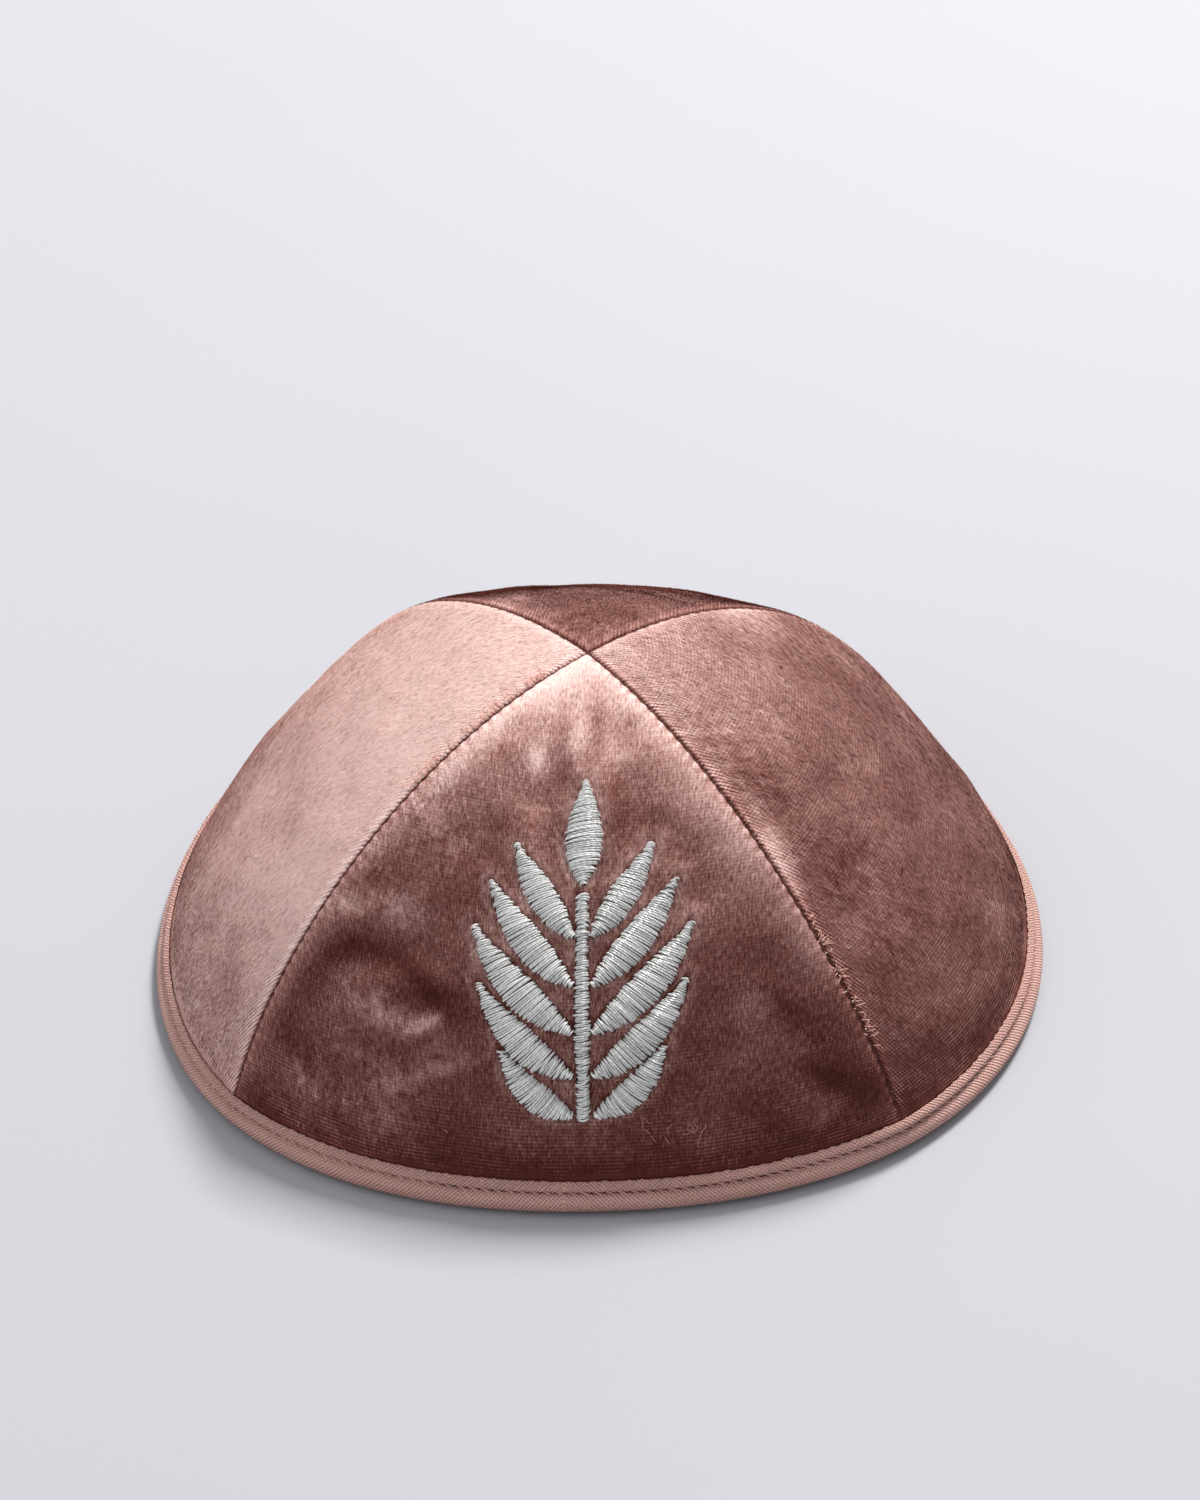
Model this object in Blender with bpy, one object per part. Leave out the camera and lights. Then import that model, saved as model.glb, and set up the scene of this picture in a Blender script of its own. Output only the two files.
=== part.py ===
"""A skullcap of four velvet gores with a bound rim and an embroidered leaf sprig.

Metres, +Z up. The cap rests on its rim on z = 0, and the gore with the sprig faces -Y.
The origin is on the floor, under the middle of the rim's outline.
"""
import math

import bmesh
import bpy
import numpy as np

# The crown's outer skin, from the rim on the floor up to the apex
RIM_RADIUS = 0.0862
CAP_HEIGHT = 0.0662
OUT_POWER = 2.06  # how full the crown's side profile is, outwards
UP_POWER = 1.60  # and upwards
FLATNESS = 0.55  # how much of a straight chord a gore's level section has at the apex
FLATNESS_POWER = 1.13  # how slowly that roundness goes from the rim upwards

# The cloth, and the gaps between its pieces
WALL = 0.0018  # velvet, stiffener and backing together
SEAM_GAP = 0.0003
CLEARANCE = 0.0003
TIP_RADIUS = 0.00035  # the gores' tips stop this far from the apex

# The folded tape around the rim
BINDING_HEIGHT = 0.0056
BINDING_BULGE = 0.0015
TAPE = 0.0009

# The embroidered sprig, on the front gore
SPRIG_HEIGHT = 0.0625
SPRIG_START = 0.0175  # from the floor up the gore's middle line
SPRIG_TURN = math.radians(-1.8)
SPRIG_ACROSS = 0.0050
STITCH_RISE = 0.0009  # crown of a satin-stitched leaf over the cloth
STITCH_EDGE = 0.3  # thickness at a leaf's edge, as a share of that

# Seams in the order of the gores: azimuth at the rim, and turn by the apex, in degrees
SEAMS = (
    {"seam": "front_left", "azimuth": -141.5, "turn": 1.7},
    {"seam": "front_right", "azimuth": -49.7, "turn": -4.5},
    {"seam": "back_right", "azimuth": 41.4, "turn": 0.4},
    {"seam": "back_left", "azimuth": 125.7, "turn": 2.8},
)

# A gore lies between the seam of its own number and the next one
GORES = (
    {"gore": "gore_front", "columns": 28, "rows": 26},
    {"gore": "gore_right", "columns": 18, "rows": 16},
    {"gore": "gore_back", "columns": 18, "rows": 16},
    {"gore": "gore_left", "columns": 18, "rows": 16},
)

# How far the rim is out of round: waves in a turn, as shares of the radius
RIM_WAVES = (
    {"waves": 2, "cosine": 0.010, "sine": -0.007},
    {"waves": 3, "cosine": 0.009, "sine": -0.015},
    {"waves": 4, "cosine": -0.013, "sine": 0.003},
)

# Dents and, with a depth below nought, ridges. The place and the reach are shares of the
# length of the gore's middle line, the depth is a share of the wall, the turn is in degrees
DENTS = (
    {"gore": 0, "across": 0.016, "up": 0.830, "long": 0.090, "wide": 0.034, "turn": -4, "depth": -0.26},
    {"gore": 0, "across": 0.046, "up": 0.810, "long": 0.075, "wide": 0.036, "turn": -6, "depth": 0.36},
    {"gore": 0, "across": -0.040, "up": 0.690, "long": 0.055, "wide": 0.036, "turn": 20, "depth": 0.32},
    {"gore": 0, "across": -0.155, "up": 0.580, "long": 0.070, "wide": 0.046, "turn": 40, "depth": 0.34},
    {"gore": 0, "across": 0.136, "up": 0.630, "long": 0.080, "wide": 0.044, "turn": -25, "depth": 0.36},
    {"gore": 0, "across": 0.225, "up": 0.500, "long": 0.100, "wide": 0.060, "turn": -12, "depth": 0.30},
    {"gore": 0, "across": -0.280, "up": 0.390, "long": 0.110, "wide": 0.052, "turn": 55, "depth": 0.56},
    {"gore": 0, "across": -0.260, "up": 0.335, "long": 0.110, "wide": 0.036, "turn": 76, "depth": -0.34},
    {"gore": 0, "across": -0.250, "up": 0.285, "long": 0.100, "wide": 0.036, "turn": 84, "depth": 0.48},
    {"gore": 0, "across": 0.375, "up": 0.345, "long": 0.090, "wide": 0.040, "turn": -42, "depth": 0.50},
    {"gore": 0, "across": 0.405, "up": 0.260, "long": 0.080, "wide": 0.036, "turn": -50, "depth": -0.32},
    {"gore": 0, "across": 0.433, "up": 0.176, "long": 0.080, "wide": 0.040, "turn": -50, "depth": 0.50},
    {"gore": 3, "across": 0.455, "up": 0.155, "long": 0.100, "wide": 0.036, "turn": -62, "depth": 0.42},
    {"gore": 3, "across": 0.060, "up": 0.360, "long": 0.160, "wide": 0.070, "turn": 10, "depth": 0.28},
    {"gore": 1, "across": -0.300, "up": 0.400, "long": 0.120, "wide": 0.060, "turn": 34, "depth": 0.28},
    {"gore": 1, "across": 0.080, "up": 0.300, "long": 0.130, "wide": 0.070, "turn": -20, "depth": 0.24},
    {"gore": 2, "across": 0.060, "up": 0.550, "long": 0.150, "wide": 0.070, "turn": 10, "depth": 0.26},
)

# The tape's outer leg from the floor up: shares of the binding's height and of its bulge
TAPE_OUTSIDE = (
    {"up": 0.00, "out": 0.30},
    {"up": 0.10, "out": 0.74},
    {"up": 0.27, "out": 0.98},
    {"up": 0.45, "out": 0.97},
    {"up": 0.58, "out": 0.76},
    {"up": 0.66, "out": 0.50},
    {"up": 0.75, "out": 0.66},
    {"up": 0.90, "out": 0.62},
    {"up": 1.00, "out": 0.40},
)
# Its inner leg from the top down: shares of the height and of the tape's thickness
TAPE_INSIDE = (
    {"up": 1.00, "in": 0.35},
    {"up": 0.93, "in": 1.00},
    {"up": 0.14, "in": 1.00},
    {"up": 0.00, "in": 0.40},
)
EDGE_HEIGHT = CLEARANCE + TAPE  # the gores' lower edges, in the fold of the tape

# Pairs of leaves, as shares of the sprig's height. A leaf's root is on the stem's side,
# its lean is from upright, and its curl is how far it turns back by its tip, in degrees
LEAF_PAIRS = (
    {"root": 0.010, "out": 0.032, "lean": 73, "curl": 52, "long": 0.290, "wide": 0.074},
    {"root": 0.125, "out": 0.030, "lean": 67, "curl": 42, "long": 0.385, "wide": 0.086},
    {"root": 0.252, "out": 0.028, "lean": 61, "curl": 34, "long": 0.420, "wide": 0.090},
    {"root": 0.388, "out": 0.027, "lean": 53, "curl": 28, "long": 0.385, "wide": 0.086},
    {"root": 0.528, "out": 0.026, "lean": 43, "curl": 22, "long": 0.320, "wide": 0.078},
)
# The upright pieces of the sprig: the stem, and the leaf at its end
UPRIGHTS = (
    {"node": "sprig_stem", "root": 0.000, "long": 0.655, "wide": 0.034, "least": 0.75},
    {"node": "sprig_top_leaf", "root": 0.680, "long": 0.320, "wide": 0.098, "least": 0.10},
)
LEAF_STATIONS = 9
LEAF_CROSS = (-1.0, -0.45, 0.45, 1.0)
LEAF_LEAST = 0.12  # a leaf's width at its ends, as a share of its full width
LEAF_FULLNESS = 0.85  # below 1, a leaf is widest past its middle

LINE_SAMPLES = 400
TURN = 2 * math.pi


def gore_edges(gore, rise):
    """Azimuths of a gore's two seams at a share of the cap's height, in radians."""
    left = SEAMS[gore]
    right = SEAMS[(gore + 1) % len(SEAMS)]
    past = TURN if right["azimuth"] < left["azimuth"] else 0.0
    return (
        np.radians(left["azimuth"] + left["turn"] * rise),
        np.radians(right["azimuth"] + right["turn"] * rise) + past,
    )


def crown_radius(gore, azimuth, rise):
    """Radius of the undented outer skin, at an azimuth and a share of the cap's height."""
    first, last = gore_edges(gore, rise)
    middle, half = (first + last) / 2, (last - first) / 2
    profile = np.clip(1 - rise**UP_POWER, 0, 1) ** (1 / OUT_POWER)
    flat = FLATNESS * (1 - np.clip(1 - rise, 0, 1) ** FLATNESS_POWER)
    chord = np.cos(half) / np.cos(azimuth - middle)
    waves = sum(
        wave["cosine"] * np.cos(wave["waves"] * azimuth) + wave["sine"] * np.sin(wave["waves"] * azimuth)
        for wave in RIM_WAVES
    )
    return RIM_RADIUS * profile * (1 - flat + flat * chord) * (1 + waves * (1 - rise))


def middle_line(gore):
    """(shares of the height, lengths from the floor) along a gore's middle line."""
    rise = np.sin(np.linspace(0, math.pi / 2, LINE_SAMPLES)) ** (2 / UP_POWER)
    azimuth = sum(gore_edges(gore, rise)) / 2
    radius = crown_radius(gore, azimuth, rise)
    steps = np.hypot(np.diff(radius), np.diff(rise) * CAP_HEIGHT)
    return rise, np.concatenate([[0.0], np.cumsum(steps)])


MIDDLE_LINES = [middle_line(gore) for gore in range(len(GORES))]


def rise_at(gore, along):
    """Share of the cap's height at a length up the gore's middle line."""
    rises, lengths = MIDDLE_LINES[gore]
    return np.interp(along, lengths, rises)


def flat_place(gore, azimuth, rise):
    """A point of the gore laid out flat: metres across from its middle line, and along it."""
    rises, lengths = MIDDLE_LINES[gore]
    middle = sum(gore_edges(gore, rise)) / 2
    across = (azimuth - middle) * crown_radius(gore, middle, rise)
    return across, np.interp(rise, rises, lengths)


def dent_depth(gore, azimuth, rise):
    """How far the dents press the skin inwards there."""
    length = MIDDLE_LINES[gore][1][-1]
    across, along = flat_place(gore, azimuth, rise)
    depth = 0.0
    for dent in DENTS:
        if dent["gore"] != gore:
            continue
        turn = math.radians(dent["turn"])
        x = across / length - dent["across"]
        y = along / length - dent["up"]
        lengthways = x * math.sin(turn) + y * math.cos(turn)
        sideways = x * math.cos(turn) - y * math.sin(turn)
        reach = (lengthways / dent["long"]) ** 2 + (sideways / dent["wide"]) ** 2
        depth = depth + dent["depth"] * WALL * np.exp(-reach)
    first, last = gore_edges(gore, rise)
    from_seam = np.clip(np.minimum(azimuth - first, last - azimuth) / (last - first) * 6, 0, 1)
    from_binding = np.clip((rise * CAP_HEIGHT - BINDING_HEIGHT) / BINDING_HEIGHT, 0, 1)
    return depth * from_seam * from_binding


def skin(gore, azimuth, rise, depth=0.0):
    """Points at a depth under the gore's outer skin. The depth runs level along the binding
    and upright at the apex, so that neighbouring gores meet in a mitre."""
    radius = crown_radius(gore, azimuth, rise)
    binding = BINDING_HEIGHT / CAP_HEIGHT
    tilt = math.pi / 2 * np.clip((rise - binding) / (1 - binding), 0, 1)
    depth = depth + dent_depth(gore, azimuth, rise)
    radius = radius - depth * np.cos(tilt)
    height = rise * CAP_HEIGHT - depth * np.sin(tilt)
    return np.stack([radius * np.cos(azimuth), radius * np.sin(azimuth), height + 0 * radius], axis=-1)


def rim_middle():
    """The middle of the box around the rim's outline, which becomes the origin."""
    share = np.linspace(0, 1, LINE_SAMPLES)
    outline = []
    for gore in range(len(GORES)):
        for row in TAPE_OUTSIDE:
            rise = row["up"] * BINDING_HEIGHT / CAP_HEIGHT
            first, last = gore_edges(gore, rise)
            outline.append(skin(gore, first + (last - first) * share, rise, -row["out"] * BINDING_BULGE))
    outline = np.concatenate(outline)
    middle = (outline.min(axis=0) + outline.max(axis=0)) / 2
    return np.array([middle[0], middle[1], 0.0])


RIM_MIDDLE = rim_middle()


def finish(name, bm, material):
    """Makes a shaded object of a closed bmesh."""
    bmesh.ops.recalc_face_normals(bm, faces=bm.faces)
    mesh = bpy.data.meshes.new(name)
    bm.to_mesh(mesh)
    bm.free()
    mesh.materials.append(material)
    mesh.shade_smooth()
    mesh.set_sharp_from_angle(angle=math.radians(40))
    obj = bpy.data.objects.new(name, mesh)
    bpy.context.scene.collection.objects.link(obj)
    return obj


def loft(name, sections, material, ring=False):
    """A closed body through sections of equally many points. A ring joins its last section
    to its first. Otherwise both ends are closed by faces across the section."""
    bm = bmesh.new()
    rows = [[bm.verts.new(tuple(point - RIM_MIDDLE)) for point in section] for section in sections]
    count = len(rows[0])
    pairs = list(zip(rows, rows[1:] + rows[:1] if ring else rows[1:]))
    for lower, upper in pairs:
        for i in range(count):
            j = (i + 1) % count
            bm.faces.new((lower[i], lower[j], upper[j], upper[i]))
    if not ring:
        for end in (rows[0], rows[-1]):
            for i in range(count // 2 - 1):
                bm.faces.new((end[i], end[i + 1], end[count - 2 - i], end[count - 1 - i]))
    return finish(name, bm, material)


def gore_rows(gore, rows):
    """Shares of the height from the gore's lower edge to its tip, evenly along its middle."""
    profile_left = (TIP_RADIUS / RIM_RADIUS) ** OUT_POWER
    tip = (1 - profile_left) ** (1 / UP_POWER)
    rises, lengths = MIDDLE_LINES[gore]
    start = np.interp(EDGE_HEIGHT / CAP_HEIGHT, rises, lengths)
    inner = rise_at(gore, np.linspace(start, lengths[-1], rows + 1)[:-1])
    return np.append(inner, tip)


def make_gore(gore, material):
    row = GORES[gore]
    share = np.linspace(0, 1, row["columns"] + 1)
    sections = []
    for rise in gore_rows(gore, row["rows"]):
        first, last = gore_edges(gore, rise)
        gap = math.asin(min(0.9, SEAM_GAP / 2 / crown_radius(gore, first, rise)))
        azimuth = first + gap + (last - first - 2 * gap) * share
        outer = skin(gore, azimuth, rise)
        inner = skin(gore, azimuth[::-1], rise, WALL)
        sections.append(np.concatenate([outer, inner]))
    return loft(row["gore"], sections, material)


def binding_section():
    """The folded tape's section: (height, distance outside the gore's skin) for each point."""
    slot_in = -(WALL + CLEARANCE)
    fold = EDGE_HEIGHT - CLEARANCE
    outside = [(row["up"] * BINDING_HEIGHT, row["out"] * BINDING_BULGE) for row in TAPE_OUTSIDE]
    slot = [(BINDING_HEIGHT, CLEARANCE), (fold, CLEARANCE), (fold, slot_in), (BINDING_HEIGHT, slot_in)]
    inside = [(row["up"] * BINDING_HEIGHT, slot_in - row["in"] * TAPE) for row in TAPE_INSIDE]
    return outside + slot + inside


def make_binding(material):
    section = binding_section()
    sections = []
    for gore, row in enumerate(GORES):
        for share in np.arange(row["columns"]) / row["columns"]:
            points = []
            for height, out in section:
                rise = np.float64(height / CAP_HEIGHT)
                first, last = gore_edges(gore, rise)
                points.append(skin(gore, first + (last - first) * share, rise, -out))
            sections.append(np.array(points))
    return loft("rim_binding", sections, material, ring=True)


def on_front(across, along, height):
    """A point of the front gore: metres across and along the sprig's own axis, and above."""
    x = SPRIG_ACROSS + across * math.cos(SPRIG_TURN) + along * math.sin(SPRIG_TURN)
    y = SPRIG_START - across * math.sin(SPRIG_TURN) + along * math.cos(SPRIG_TURN)
    rise = rise_at(0, y)
    middle = sum(gore_edges(0, rise)) / 2
    return skin(0, middle + x / crown_radius(0, middle, rise), rise, -height)


def make_leaf(name, root, side, leaf, material, least=LEAF_LEAST):
    """One satin-stitched leaf, crowned across, on an arc that curls back towards upright."""
    lean, curl = math.radians(leaf["lean"]), math.radians(leaf["curl"])
    long, wide = leaf["long"] * SPRIG_HEIGHT, leaf["wide"] * SPRIG_HEIGHT
    sections = []
    for step in range(LEAF_STATIONS):
        share = step / (LEAF_STATIONS - 1)
        angle = lean - curl * share
        if curl:
            x = long / curl * (math.cos(angle) - math.cos(lean))
            y = long / curl * (math.sin(lean) - math.sin(angle))
        else:
            x, y = long * share * math.sin(lean), long * share * math.cos(lean)
        half = wide / 2 * max(least, math.sin(math.pi * share**LEAF_FULLNESS))
        top, bottom = [], []
        for cross in LEAF_CROSS:
            across = side * (root[0] + x + cross * half * math.cos(angle))
            along = root[1] + y - cross * half * math.sin(angle)
            crown = STITCH_EDGE + (1 - STITCH_EDGE) * (1 - cross**2)
            top.append(on_front(across, along, CLEARANCE + STITCH_RISE * crown))
            bottom.append(on_front(across, along, CLEARANCE))
        sections.append(np.array(top + bottom[::-1]))
    return loft(name, sections, material)


def make_sprig(material):
    for row in UPRIGHTS:
        root = (0.0, row["root"] * SPRIG_HEIGHT)
        leaf = {"lean": 0, "curl": 0, "long": row["long"], "wide": row["wide"]}
        make_leaf(row["node"], root, 1, leaf, material, row["least"])
    for number, leaf in enumerate(LEAF_PAIRS, start=1):
        root = (leaf["out"] * SPRIG_HEIGHT, leaf["root"] * SPRIG_HEIGHT)
        make_leaf(f"sprig_leaf_right_{number}", root, 1, leaf, material)
        make_leaf(f"sprig_leaf_left_{number}", root, -1, leaf, material)


def cloth(name, colour, roughness, sheen):
    material = bpy.data.materials.new(name)
    material.use_nodes = True
    shader = material.node_tree.nodes["Principled BSDF"]
    shader.inputs["Base Color"].default_value = (*colour, 1.0)
    shader.inputs["Roughness"].default_value = roughness
    shader.inputs["Metallic"].default_value = 0.0
    shader.inputs["Sheen Weight"].default_value = sheen
    return material


def main():
    for obj in list(bpy.data.objects):
        bpy.data.objects.remove(obj)
    velvet = cloth("rose_velvet", (0.30, 0.105, 0.09), 0.75, 0.8)
    twill = cloth("rose_twill", (0.46, 0.23, 0.195), 0.80, 0.3)
    thread = cloth("silver_thread", (0.62, 0.63, 0.60), 0.40, 0.2)
    for gore in range(len(GORES)):
        make_gore(gore, velvet)
    make_binding(twill)
    make_sprig(thread)


main()
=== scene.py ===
"""Looks of the velvet skullcap: four gores with their pile, the twill tape round the rim, and
a satin-stitched leaf sprig. Metres, +Z up, with the sprig's gore facing -Y.

Places on a gore are given as its cloth lies flat: across from the gore's middle line, and
along that line from the floor to the apex. Gores are numbered from the front one, 0, and on
anticlockwise seen from above: 1 is the right one, 2 the back one and 3 the left one."""
import math

import bpy
import numpy as np
from mathutils import Matrix, Vector


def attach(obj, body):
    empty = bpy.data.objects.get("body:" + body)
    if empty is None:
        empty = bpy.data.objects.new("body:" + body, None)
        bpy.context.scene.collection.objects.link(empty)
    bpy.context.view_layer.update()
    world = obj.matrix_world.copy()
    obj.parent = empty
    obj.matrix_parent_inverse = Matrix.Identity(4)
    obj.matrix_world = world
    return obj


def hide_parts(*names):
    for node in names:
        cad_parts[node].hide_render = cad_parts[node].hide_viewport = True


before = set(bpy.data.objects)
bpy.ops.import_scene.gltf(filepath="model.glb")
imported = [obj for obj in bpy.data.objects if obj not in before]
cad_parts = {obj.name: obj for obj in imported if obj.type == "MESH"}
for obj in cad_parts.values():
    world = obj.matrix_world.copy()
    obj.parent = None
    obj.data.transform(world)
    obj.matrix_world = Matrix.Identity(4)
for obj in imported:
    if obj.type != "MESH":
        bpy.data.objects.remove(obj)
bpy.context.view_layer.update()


def table_of(columns, *rows):
    """A table with named columns: a dictionary for each row."""
    return [dict(zip(columns.split(), row)) for row in rows]


# The camera, which stands where the photograph was taken from
LENS_MM = 99.9
CAMERA_PLACE = Vector((0.0011, -0.6447, 0.5185))
CAMERA_AIM = Vector((0.0011, -0.0014, 0.0430))
CAMERA_ROLL = math.radians(-1.51)

# The crown's outer skin, as the solids have it
RIM_RADIUS = 0.0862
CAP_HEIGHT = 0.0662
OUT_POWER = 2.06
UP_POWER = 1.60
FLATNESS = 0.55
FLATNESS_POWER = 1.13
WALL = 0.0018
SEAM_GAP = 0.0003
CLEARANCE = 0.0003
TIP_RADIUS = 0.00035
BINDING_HEIGHT = 0.0056
BINDING_BULGE = 0.0015
TAPE = 0.0009
EDGE_HEIGHT = CLEARANCE + TAPE
SEAMS = table_of(
    "seam azimuth turn",
    ("front_left", -141.5, 1.7),
    ("front_right", -49.7, -4.5),
    ("back_right", 41.4, 0.4),
    ("back_left", 125.7, 2.8),
)
RIM_WAVES = table_of(
    "waves cosine sine",
    (2, 0.010, -0.007),
    (3, 0.009, -0.015),
    (4, -0.013, 0.003),
)
# The widest lines of the solid binding, as shares of its height and bulge
ROLL_LINES = table_of("up out", (0.27, 0.98), (0.45, 0.97))
# Dents and folds. Across, up, long and wide are shares of the length of the gore's middle line,
# turn is in degrees from that line, and depth is a share of the wall
DENTS = table_of(
    "gore across up long wide turn depth",
    (0, 0.016, 0.830, 0.090, 0.034, -4, -0.26),
    (0, 0.046, 0.810, 0.075, 0.036, -6, 0.36),
    (0, -0.040, 0.690, 0.055, 0.036, 20, 0.32),
    (0, -0.155, 0.580, 0.070, 0.046, 40, 0.34),
    (0, 0.136, 0.630, 0.080, 0.044, -25, 0.36),
    (0, 0.225, 0.500, 0.100, 0.060, -12, 0.30),
    (0, -0.280, 0.390, 0.110, 0.052, 55, 0.56),
    (0, -0.260, 0.335, 0.110, 0.036, 76, -0.34),
    (0, -0.250, 0.285, 0.100, 0.036, 84, 0.48),
    (0, 0.375, 0.345, 0.090, 0.040, -42, 0.50),
    (0, 0.405, 0.260, 0.080, 0.036, -50, -0.32),
    (0, 0.433, 0.176, 0.080, 0.040, -50, 0.50),
    (3, 0.455, 0.155, 0.100, 0.036, -62, 0.42),
    (3, 0.060, 0.360, 0.160, 0.070, 10, 0.28),
    (1, -0.300, 0.400, 0.120, 0.060, 34, 0.28),
    (1, 0.080, 0.300, 0.130, 0.070, -20, 0.24),
    (2, 0.060, 0.550, 0.150, 0.070, 10, 0.26),
)
DENT_GROWTH = 6  # how steeply they deepen away from a seam, over the gore's width

# How each gore is cut and brushed. Columns and rows are its mesh's. The tones are how light the
# pile is painted from the rim (first) to the apex (last), evenly spaced: its own colour with
# painted sheen and painted shade, lighter towards the apex. The highlights are painted highlights,
# how much lighter it is beside the left and right seams. Warp and weft are how clearly the lines of
# the weave show, the trim is how short the pile is at the seams, as a share, and the pinch is how
# much more painted shade each stitch's pucker gets near the apex
GORES = (
    {
        "side": "front", "columns": 200, "rows": 190, "trim": 0.15, "warp": 0.15, "weft": 0.60,
        "left_edge": 0.22, "right_edge": 0.13, "pinch": 0.22,
        "sheen_and_shade_tones": (0.09, 0.26, 0.31, 0.36, 0.44, 0.53, 0.62, 0.85, 1.01),
    },
    {
        "side": "right", "columns": 120, "rows": 150, "trim": 0.20, "warp": 0.80, "weft": 1.00,
        "left_edge": -0.04, "right_edge": 0.04, "pinch": 0.0,
        "sheen_and_shade_tones": (0.20, 0.39, 0.45, 0.46, 0.48, 0.52, 0.63, 0.76, 0.87),
    },
    {
        "side": "back", "columns": 110, "rows": 130, "trim": 0.25, "warp": 0.40, "weft": 0.60,
        "left_edge": 0.05, "right_edge": 0.05, "pinch": 0.0,
        "sheen_and_shade_tones": (0.18, 0.25, 0.30, 0.32, 0.34, 0.38, 0.44, 0.48, 0.54),
    },
    {
        "side": "left", "columns": 120, "rows": 150, "trim": 0.30, "warp": 1.00, "weft": 0.30,
        "left_edge": 0.08, "right_edge": 0.06, "pinch": 0.22,
        "sheen_and_shade_tones": (0.71, 0.79, 0.88, 0.99, 1.05, 1.08, 1.08, 1.08, 1.07),
    },
)
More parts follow.
